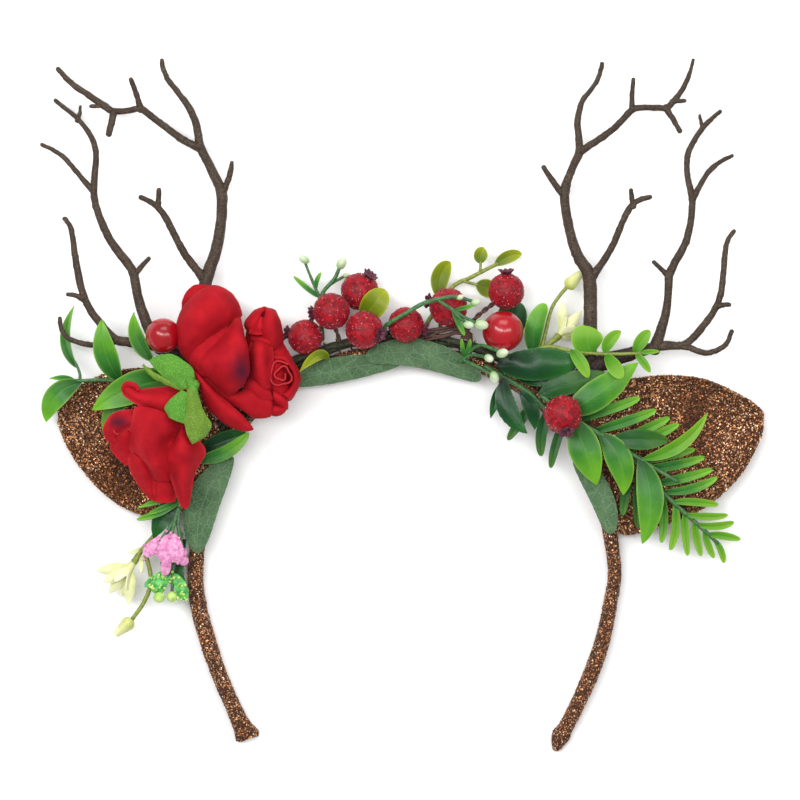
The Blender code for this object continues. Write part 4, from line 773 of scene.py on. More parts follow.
ROSE_UPPER = (
    ((-71, 1.6, 19, -65, 0.4, 21, -59.6, 1.2, 19), (-73.6, 8, 20, -66, 7, 22.6, -58.6, 6.6, 20),
     (-77, 18, 20, -67, 17, 26, -57, 14, 21), (-78, 28, 19, -67, 27, 26, -57.6, 25, 20),
     (-74, 37, 18, -66, 36, 22, -59, 33, 18)),
    ((-79.8, 33, 16, -78, 33.4, 17, -76, 34, 17), (-79.6, 37.6, 17, -76.2, 38.2, 18.8, -72, 38.6, 18.8),
     (-77.2, 41.6, 16.5, -73.6, 41.8, 17.4, -69, 41.6, 17.4),
     (-73.6, 43.4, 15.2, -71, 43.5, 15.4, -67, 43, 15.4)),
    ((-75.6, 13.6, 20, -74.6, 13.8, 21, -73.2, 14.2, 21), (-81, 19.4, 19, -76.4, 19.4, 26.4, -71.2, 20, 22),
     (-82.7, 25.6, 18, -75.4, 25.6, 31, -67.2, 23.8, 24), (-81.4, 31, 17, -72.6, 31.6, 33, -62.8, 27.6, 25),
     (-79.2, 35.8, 16.5, -69.2, 36.6, 31.6, -57.8, 30.8, 22),
     (-75.4, 40, 16, -66.6, 40, 27.6, -56.9, 33.6, 19), (-71.2, 42, 16, -65.4, 42, 22.4, -59.8, 38.6, 17.6),
     (-68, 42.6, 16, -65.2, 42.5, 18.6, -62.6, 41.4, 16.6)),
    ((-66, 4.5, 22, -64, 3.4, 22.6, -62.6, 0.6, 21), (-60, 5, 22, -58.6, 1.6, 24.4, -57.6, -2.6, 21.6),
     (-54, 6, 21.6, -52.2, 1.6, 23.6, -53.2, -5.4, 19.6), (-48.6, 4.6, 20, -47.6, 0, 21.4, -48.8, -5.2, 18),
     (-46.4, 0.6, 18, -46.4, -1.6, 18.6, -47, -4.4, 17)),
    ((-57, 8.6, 21, -56.6, 6, 22, -56, 3, 21), (-53.4, 9.6, 22, -52.2, 5.4, 25, -51.6, 0.6, 22),
     (-49.6, 7.6, 22, -48.2, 4.4, 24, -47.6, 1.4, 21), (-47, 5.6, 20.6, -46.6, 3.4, 21, -46.4, 1.4, 20)),
    ((-75.2, 12.6, 24, -74.8, 11.8, 24.4, -74.6, 11, 23.6),
     (-72.4, 10.2, 25.4, -72.4, 7.8, 27.4, -73, 5, 23), (-68.6, 6.6, 25.6, -69.2, 3.8, 29, -71.2, -0.2, 22),
     (-63.8, 2.2, 25.2, -64.6, -1, 28.8, -67, -5.1, 21),
     (-58.2, -2.5, 24, -59.4, -5.2, 27, -62.2, -8.4, 20.6),
     (-54.8, -6.4, 23, -55.8, -8, 24.8, -57.8, -9.9, 21),
     (-53.2, -8.4, 22.6, -53.3, -9, 22.8, -53.7, -9.6, 22)),
    ((-74.4, 14.4, 22, -74.2, 13.6, 23, -74, 12.8, 22),
     (-72.4, 18.4, 23.6, -70.6, 14.4, 29.4, -71, 9.2, 23),
     (-68.6, 22.4, 24.6, -65.6, 14.8, 33.4, -66.4, 5, 23.6),
     (-64.2, 26.7, 25.6, -60.6, 15.6, 35, -62.4, 2, 23.6),
     (-60.2, 31.2, 25, -56.8, 16.6, 33, -58.4, 4.7, 25),
     (-57.5, 31.4, 22, -54.2, 16.4, 29, -55.3, 9.2, 25)),
)
ROSE_RIGHT = (
    ((-55.6, 0.6, 15, -48, -2, 17, -41.6, -1, 14), (-57, 8, 16, -47, 8, 21, -38, 6, 14),
     (-57.4, 16, 16, -47, 16, 21, -38.6, 15, 14), (-57, 25, 16, -49, 25, 20, -43, 24, 14),
     (-55.4, 32, 16, -49.8, 33.6, 19, -44.2, 32.4, 15), (-53, 34.4, 16, -49.6, 35.6, 18, -46.6, 34.6, 15)),
    ((-54.8, 24.8, 19, -54.2, 24.6, 20.6, -53.6, 24.4, 21),
     (-57, 28.4, 17, -55.2, 28.6, 22, -52.6, 28, 23.4),
     (-54.8, 32.2, 16, -53.2, 31.8, 22.6, -51, 31.2, 23.6),
     (-51.8, 35, 16, -50.8, 34.6, 20, -49.4, 34.7, 20.6)),
    ((-49.4, 20, 18, -46.4, 19.2, 21, -43.6, 19.6, 14),
     (-51.2, 24.4, 21.6, -46.2, 23.6, 25.4, -42.4, 23.2, 14),
     (-50.6, 28.2, 23, -46.2, 28.2, 26.4, -42.8, 27, 14),
     (-49.8, 31.6, 22, -46.6, 32.2, 24.6, -44, 30.8, 14.6),
     (-49.5, 34.6, 19, -47.6, 35, 20.4, -45.8, 33.6, 15)),
    ((-51.4, 32, 22.4, -50.8, 31.6, 23.4, -50.2, 31, 23),
     (-52.9, 28.4, 22.4, -51.2, 28, 25.4, -49.4, 28.2, 23),
     (-54.1, 25.2, 21.4, -51.6, 25.4, 24, -48.8, 26.4, 21.8)),
    ((-54.3, 24.8, 20.4, -54.3, 23.4, 22, -53.6, 22.2, 20),
     (-50, 24.8, 22, -50.4, 23, 24.6, -50.4, 21.4, 21), (-46.4, 24, 22.6, -46.8, 22, 25, -47, 20.2, 21)),
    ((-53.6, 22.6, 21, -52, 23.2, 22.4, -50.2, 22.6, 21.6),
     (-54.7, 18.8, 22.4, -51.2, 20.2, 27.4, -48, 20.6, 22.4),
     (-54.4, 15.2, 22.6, -50.8, 15.4, 28.6, -47.3, 15.6, 22.4),
     (-54.4, 10.6, 22, -50.6, 10.6, 27.4, -47.2, 10.6, 21.6),
     (-52.4, 7.8, 20.6, -49.6, 6.6, 24, -47.2, 5.6, 20)),
    ((-47.4, 19.2, 16.5, -46.2, 17.2, 21.8, -45.4, 15.4, 20),
     (-43, 18.7, 15, -42.4, 16.8, 22.2, -42.6, 15, 20),
     (-39.6, 16.1, 14.4, -40.2, 14.6, 22, -41.2, 13.2, 20), (-37, 12.7, 14, -38.2, 12, 21.6, -40, 11.4, 20),
     (-36.4, 8.7, 13.6, -37.8, 8.6, 21, -39.8, 9, 19.6), (-37.8, 4.2, 13.6, -39, 5, 20.4, -41, 6.4, 19),
     (-40.5, 0.8, 13.6, -41.4, 2.6, 20, -42.8, 4.8, 18.6),
     (-44.6, 1.8, 14.4, -44.8, 4, 19.2, -45, 5.6, 18)),
    ((-47, 6, 19, -46.4, 3.6, 21, -46.2, 1, 18), (-43.4, 3.4, 19, -43, 1.2, 21, -43.6, -1.4, 17),
     (-40.6, 0.6, 17.4, -40.8, -0.6, 18.6, -41.6, -2, 16.4)),
    ((-47.8, 0.6, 17.2, -47.4, -2, 19.4, -47.8, -4.6, 16),
     (-44, -0.4, 17, -43.8, -2.4, 19, -44.6, -4.6, 15.4),
     (-40.8, -0.8, 16.2, -41, -1.6, 16.6, -41.8, -2.6, 15.4)),
)
ROSE_LOWER = (
    ((-102, -6, 17, -90, -2, 22, -78, -2, 20), (-102.6, -13, 16.4, -90, -13, 24, -76, -13, 20),
     (-97, -22, 16, -88, -23, 22, -77, -22, 19), (-90, -31, 15.6, -86, -32, 18, -80, -30, 17)),
    ((-96.2, -2.4, 21, -96.4, -5, 23, -96.8, -8, 22),
     (-100.4, -3.2, 19.6, -100.2, -6, 23.4, -99.4, -9.6, 21.6),
     (-104.1, -4.8, 18.6, -103.2, -7.2, 22.4, -101.4, -10.6, 20.6),
     (-106.6, -8.8, 17.4, -104.4, -10, 21, -102, -12.2, 19.6),
     (-105.2, -12.8, 17, -103.4, -13, 19.8, -101.6, -13.8, 18.6)),
    ((-101.8, -10.4, 20.4, -99.4, -10, 24, -96.8, -9.6, 22.6),
     (-104.2, -14.6, 17.6, -101, -14, 22.2, -97.2, -13.8, 21.6),
     (-102.4, -17.8, 16.6, -99.8, -17.2, 20.4, -97.2, -17.4, 20),
     (-98.6, -21, 16, -97.8, -20.8, 17.4, -96.8, -20.4, 17.6)),
    ((-90, -25.2, 19.6, -86, -26.2, 23, -82, -26.6, 19.6),
     (-89.9, -29.6, 17.6, -85.8, -29.8, 21.6, -81.5, -30.4, 18),
     (-88.9, -34.2, 16, -85.6, -34.8, 18.4, -82.4, -34.6, 16.4)),
    ((-98, -17, 20, -95.4, -18.2, 23, -92.4, -20.4, 22),
     (-97.1, -22.6, 17.6, -93.8, -23.2, 22.4, -90.2, -24.6, 21),
     (-93.8, -28.8, 16.6, -91.6, -28.4, 20.8, -89.2, -28.2, 19.6),
     (-91.4, -32, 16, -90.6, -32, 18.6, -89.4, -31.8, 18),
     (-90.3, -33.6, 15.6, -89.9, -33.6, 16.6, -89.4, -33.4, 16.4)),
    ((-95.2, -0.8, 24, -87, -2.4, 28, -79, -7.6, 23), (-96.3, -6.3, 23, -88.6, -7.6, 31.6, -80, -10.2, 24),
     (-97, -12.4, 21.6, -90.4, -13, 32.6, -83.2, -13.6, 24.6),
     (-96.5, -16.8, 21, -90.4, -18.2, 31.6, -84.2, -18, 24.6),
     (-92.7, -20.4, 20.6, -88.6, -22.6, 28.8, -83.2, -23, 23.6),
     (-89.4, -24.9, 20, -86.4, -26.8, 24, -82.7, -27, 21.6)),
    ((-81.4, -12.4, 24, -79.4, -9.6, 27, -77.4, -8.2, 23),
     (-84, -17, 24, -79, -14.4, 30.6, -74, -13.2, 22.6),
     (-84.2, -20.2, 24, -78.4, -18.6, 31, -71.6, -16.8, 21.6),
     (-82.8, -24.4, 23.4, -78.2, -22.8, 29.6, -73.4, -20.8, 21.6),
     (-81.2, -29, 22.6, -78.2, -28, 27.6, -75.3, -25.4, 22),
     (-79.6, -33, 22, -78, -32.4, 25.4, -76.5, -30.4, 22),
     (-78.1, -36.4, 22, -77.9, -36.4, 22.2, -77.6, -35.8, 22)),
    ((-77.2, 5.2, 22, -77.4, -1, 26, -77.6, -6.9, 21.6),
     (-83.1, 5.5, 22.4, -83.2, 0.8, 28, -83, -5.8, 23.4),
     (-88.7, 5.1, 22.8, -88.8, 1.6, 28.4, -88.6, -3, 24.4),
     (-93.2, 4.5, 23.2, -93.4, 2.4, 27.2, -93.4, -0.4, 24.6),
     (-95.8, 5.4, 23.4, -96.4, 3.6, 26, -96.6, 1.8, 24.6), (-98.2, 7.4, 23, -99, 5.8, 24.4, -99, 3.4, 23.6),
     (-99.4, 7, 22.4, -99.9, 6.2, 22.6, -99.9, 5.2, 22.4)),
)

# The rolled rim of the lower rose: x, y, z, radius
LOWER_ROLL = (
    (-99.7, 5.4, 23.6, 0.8), (-99.3, 6.9, 24.2, 1), (-97.6, 7.3, 24.8, 1.1), (-95.6, 6.6, 25, 1),
    (-94.8, 5.2, 25, 0.7),
)

# Purple stains on petals: x, y, half width, half height
STAINS = ((-57.6, 12.2, 3.4, 5.0), (-101.6, -6.4, 3.4, 2.0))


def stained(grid):
    found = np.zeros(grid.shape[:2])
    for x, y, wide, high in STAINS:
        spot = np.exp(-(((grid[..., 0] - x) / wide) ** 2) - ((grid[..., 1] - y) / high) ** 2)
        found = np.maximum(found, spot)
    return found * (grid[..., 2] > 20)


def make_rose(name, node, petals, core, swirls=(), roll=None):
    """Curled cloth petals round a core. Swirls are the wound petals of a bud, seen from its end."""
    middle = Bits()
    middle.ball(core[:3], core[3], stretch=core[4], rough=0.1)
    middle.make(node + "_core", [ROSE], node)
    bits = Bits()
    for k, rows in enumerate(petals):
        grid = curl_rim(crumple(patch(rows), 7.0, 0.55, 3.1 * k), 0.9)
        grid = crumple(grid, 2.4, 0.16, 1.7 * k)
        bits.sheet(grid, PETAL_THICKNESS, tint=stained(grid))
    for x, y, z, outer, inner, turns, high, phase in swirls:
        grid = []
        for t in np.linspace(0, 1, int(28 * turns)):
            angle = phase + 2 * math.pi * turns * t
            radius = (outer + (inner - outer) * t) * (1 + 0.13 * math.cos(3 * angle + 4 * t))
            out = np.array((math.cos(angle), math.sin(angle), 0))
            foot = np.array((x, y, z - high * 0.5)) + out * radius * 0.7
            belly = np.array((x, y, z + high * 0.25)) + out * (radius - 0.3)
            rim = np.array((x, y, z + high * 0.5)) + out * (radius + 0.15)
            grid.append((foot, (foot + belly) / 2 + out * 0.3, belly, rim))
        bits.sheet(crumple(np.array(grid), 3.0, 0.3), PETAL_THICKNESS)
    if roll:
        bits.tube(roll, 12, 5)
    rose = bits.make(name, [ROSE], node)


make_band()
make_stems()
make_ear("left", LEFT_EAR, "ear_left", (-100, -22, 8, 12))
make_ear("right", RIGHT_EAR, "ear_right", (106, -7, 6, 12))
make_antler("antler_left_twigs", LEFT_ANTLER, "antler_left")
make_antler("antler_right_twigs", RIGHT_ANTLER, "antler_right")
make_rose("rose_upper_petals", "rose_upper", ROSE_UPPER, (-69, 18.4, 21, 8.2, (1, 1.2, 0.9)))
make_rose("rose_right_petals", "rose_right", ROSE_RIGHT, (-47, 14, 15.5, 6.6, (1, 1.3, 1)),
          swirls=((-43.2, 10.6, 20.4, 4.8, 1.1, 1.9, 6.5, 1.0), (-50.6, 28.6, 20.6, 2.6, 0.8, 1.4, 6.0, 2.0)))
make_rose("rose_lower_petals", "rose_lower", ROSE_LOWER, (-88, -12, 19.0, 8.2, (1.15, 1.35, 1.0)),
          swirls=((-101.0, -8.6, 19.0, 3.2, 0.8, 1.5, 6.0, 0.4),),
          roll=LOWER_ROLL)


# Berries: x, y, z, radius. The frosted ones carry a dried crown, which points along a direction
FROSTED = (
    (-35, 24.3, 10.8, 6.2, (-0.9, 0.2, -0.2)),
    (-25.5, 33.5, 15, 6.5, (-0.9, -0.1, -0.3)),
    (-15.5, 40.8, 7.1, 6.7, (0.5, 0.75, 0.4)),
    (-13.7, 26.7, 17, 6.7, (0.75, -0.2, 0.6)),
    (1.2, 28.6, 14.2, 6.3, (0.8, -0.2, -0.2)),
    (16.5, 35, 13, 6.8, (-0.8, 0.25, -0.2)),
    (37.3, 40.8, 13, 6.4, (0, 0.9, 0.2)),
    (57.5, -3.6, 24, 6.8, (0.15, -0.75, 0.6)),
)
GLOSSY = ((36.1, 26.3, 15.6, 7.4), (-85.9, 24.7, 20.2, 6.3))


# The wire that carries each frosted berry: from its surface to the bound stems
WIRES = (
    None,
    ((-25, 29.8, 12.4, 0.7), (-22.6, 22.8, 9, 0.7)),
    ((-14.6, 36.4, 6.8, 0.7), (-10.8, 27.2, 6, 0.7)),
    ((-13.7, 24.6, 10.8, 0.7), (-13.7, 23.4, 8.6, 0.7)),
    None,
    ((14.8, 31.6, 11.6, 0.7), (12.3, 24.8, 8.3, 0.7)),
    ((34.6, 37.8, 11.6, 0.8), (26, 30.8, 9.4, 0.8), (21.4, 23.4, 8.4, 0.8)),
    ((57, -4, 17.6, 0.8), (55.5, -6.5, 14.6, 0.8)),
)


def twisted(bits, rows, slot, strands=2, turns_per_mm=0.16):
    """Wires that are wound round each other, through rows of x, y, z, radius of the whole bundle."""
    path = catmull(rows, 10)
    gone = np.concatenate([[0], np.cumsum(np.linalg.norm(np.diff(path[:, :3], axis=0), axis=1))])
    heading = np.gradient(path[:, :3], axis=0)
    heading /= np.linalg.norm(heading, axis=1)[:, None]
    side = np.cross(heading, (0.1, 0.1, 1.0))
    side /= np.linalg.norm(side, axis=1)[:, None]
    other = np.cross(heading, side)
    for k in range(strands):
        angle = 2 * math.pi * (gone * turns_per_mm + k / strands)
        out = np.cos(angle)[:, None] * side + np.sin(angle)[:, None] * other
        strand = np.column_stack([path[:, :3] + out * path[:, 3:] * 0.5, path[:, 3] * 0.62])
        bits.tube(strand, 8, 1, slot)


def add_crown(bits, centre, radius, direction, slot):
    """The dried crown of a rose hip: a dimple with short ragged sepals round it."""
    axis = np.array(Vector(direction).normalized())
    side = np.cross(axis, (0.3, 0.1, 0.9))
    side /= np.linalg.norm(side)
    other = np.cross(axis, side)
    centre = np.array(centre)
    dimple = centre + axis * radius * 0.93
    bits.ball(dimple, 1.7, slot, sides=16, stretch=(1, 1, 0.55), point_to=axis, rough=0.2)
    for k in range(9):
        angle = 2 * math.pi * (k + random.uniform(-0.2, 0.2)) / 9
        out = math.cos(angle) * side + math.sin(angle) * other
        reach = random.uniform(0.75, 1.2)
        base = centre + axis * radius * 0.9 + out * 0.9
        middle = centre + axis * (radius + 0.9 * reach) + out * 1.7
        tip = centre + axis * (radius + 1.5 * reach) + out * (2.5 + 0.5 * reach)
        grid = blade((base, middle, tip, 1.7, -0.3, "oval"), 8, 6, face=tuple(axis), groove=0)
        bits.sheet(crumple(grid, 1.0, 0.25, k), 0.4, slot)


def make_berries():
    for i, (x, y, z, radius, direction) in enumerate(FROSTED):
        bits = Bits()
        bits.ball((x, y, z), radius, 0, sides=44, rough=0.05, point_to=direction)
        places, ways = scatter(bits, SUGAR_GRAINS, -0.5)
        add_grains(bits, places, ways, 0.32, 1, random.random(len(places)) ** 1.9)
        add_crown(bits, (x, y, z), radius, direction, 2)
        if WIRES[i]:
            twisted(bits, [(*row[:3], row[3] * 1.1) for row in WIRES[i]], 3)
        looks = [BERRY, SUGAR, CROWN, STEM_BROWN]
        bits.make(f"berry_sugared_{i + 1}", looks, f"frosted_berry_{i + 1}")
    for i, (x, y, z, radius) in enumerate(GLOSSY):
        bits = Bits()
        bits.ball((x, y, z), radius, 0, sides=56, rough=0.018)
        bits.make(f"berry_lacquered_{i + 1}", [GLOSS], f"glossy_berry_{i + 1}")


make_berries()


# Grey-green cloth leaves wound along the band: base, middle, tip, width, cup, outline
WRAP_LEAVES = {
    "wrap_leaf_top_left": ((-41, 7.5, 9.4), (-24, 12.4, 9.5), (0, 15.5, 9), 9, -0.2, "oval"),
    "wrap_leaf_top_right": ((-13, 16.6, 11.2), (7, 18.2, 10.5), (28, 9, 9.4), 10, -0.15, "strap"),
    "wrap_leaf_left": ((-61, -19, 11), (-71.6, -35, 11.5), (-73.6, -53.6, 8.9), 12, -0.1, "oval"),
    "wrap_leaf_right": ((62, -19, 11), (71, -32, 11.8), (75, -46.5, 10.9), 8.4, -0.15, "strap"),
}

# Loose leaves: base, middle, tip, width, cup, outline
LEAVES = {
    "leaf_dark_upper": ((34, 14, 14.6), (48, 14.4, 17.2), (62.6, 15.6, 15.6), 11.6, -0.25, "oval"),
    "leaf_dark_under": ((42, 9, 11), (53, 10, 12.6), (63, 14.5, 14.2), 6, 0.2, "pointed"),
    "leaf_dark_lower": ((36.4, 9.4, 11.3), (37.8, -1.5, 12.8), (44.8, -10.3, 11.6), 7.4, -0.2, "pointed"),
    "leaf_dark_inner": ((42, 5, 11.6), (46.4, -1.5, 11), (47.6, -9, 9.6), 5.4, 0.2, "pointed"),
    "leaf_dark_edge": ((36.4, 8, 9.9), (33.8, 2, 9.6), (31.8, -4.8, 8.8), 3.6, 0.2, "pointed"),
    "leaf_round_back": ((39, 24, 8), (39.6, 31, 6), (39.5, 37, 5), 10.5, -0.1, "round"),
    "leaf_upright": ((47.4, 18.6, 10.2), (47.6, 28, 12), (51.6, 36, 12), 6.6, -0.2, "strap"),
    "leaf_lime_middle": ((-14.4, 31.2, 9.2), (-10.2, 36, 13.7), (-6.6, 41.4, 12.8), 9.4, 0.15, "oval"),
    "leaf_lime_low": ((-26.6, 16.2, 10.1), (-30.5, 17.6, 12.8), (-37, 11.8, 13.8), 3.6, 0.3, "pointed"),
    "leaf_lime_upright": ((13.6, 38.4, 6), (13.6, 46, 6.6), (17.2, 51.4, 8), 6.6, 0.2, "oval"),
    "leaf_pointed_left": ((-89.4, 15.4, 14.3), (-95.4, 23.4, 14.7), (-96.6, 33, 15.4), 5.4, 0.2, "pointed"),
    "leaf_broad_left": ((-81, 8.8, 10.4), (-96, 6.2, 15.4), (-111.6, -2, 13.2), 11.5, 0.15, "pointed"),
    "leaf_behind_left": ((-98.6, 6.7, 9.9), (-104, -2, 10.4), (-107.8, -10.4, 9.4), 6.6, 0.1, "pointed"),
    "leaf_under_rose": ((-76, -20, 12.8), (-64.5, -17.6, 13.1), (-55.4, -10.2, 12.3), 5, 0.25, "oval"),
    "leaf_dark_rose": ((-73.4, -17, 10), (-64.5, -13.4, 11), (-56.4, -10.2, 10.6), 7, 0.2, "oval"),
    "leaf_dark_low": ((-79.4, -35.4, 12.9), (-85.4, -39.6, 12.7), (-89.6, -48.4, 10.8), 7.6, 0.1,
        "pointed"),
    "leaf_dark_tip": ((-78, -48.6, 8.6), (-83, -58, 8), (-77.6, -66.8, 9.6), 8.6, 0.1, "pointed"),
}

# How loose leaves are finished, by the start of their names, and which have a toothed rim
LEAF_LOOKS = {
    "leaf_dark": (DARK_LEAF, "dark_leaf_plastic"), "leaf_round": (DARK_LEAF, "dark_leaf_plastic"),
    "leaf_lime": (LIME_LEAF, "lime_leaf_plastic"), "leaf_under": (FERN_LEAF, "leaf_plastic"),
}
OTHER_LEAF = (BRIGHT_LEAF, "leaf_plastic")
TEETH = {"leaf_dark_upper": 0.02, "leaf_dark_lower": 0.03, "leaf_dark_low": 0.02, "leaf_dark_tip": 0.03}


def make_leaves():
    for k, (name, row) in enumerate(LEAVES.items()):
        looks = (look for start, look in LEAF_LOOKS.items() if name.startswith(start))
        finish, slot = next(looks, OTHER_LEAF)
        bits = Bits()
        grid = crumple(blade(row, 30, 16, teeth=TEETH.get(name, 0.0), twist=0.12), 6.0, 0.5, 2.3 * k)
        bits.sheet(grid, LEAF_THICKNESS)
        bits.make(name + "_veined", [finish], name)
    for k, (name, row) in enumerate(WRAP_LEAVES.items()):
        bits = Bits()
        grid = crumple(blade(row, 40, 18, fold=0.2, groove=0.25, teeth=0.015), 8.0, 0.7, 4.1 * k)
        bits.sheet(crumple(grid, 2.2, 0.12, k), CLOTH_THICKNESS)
        leaf = bits.make(name + "_felt", [VELVET], name)


make_leaves()


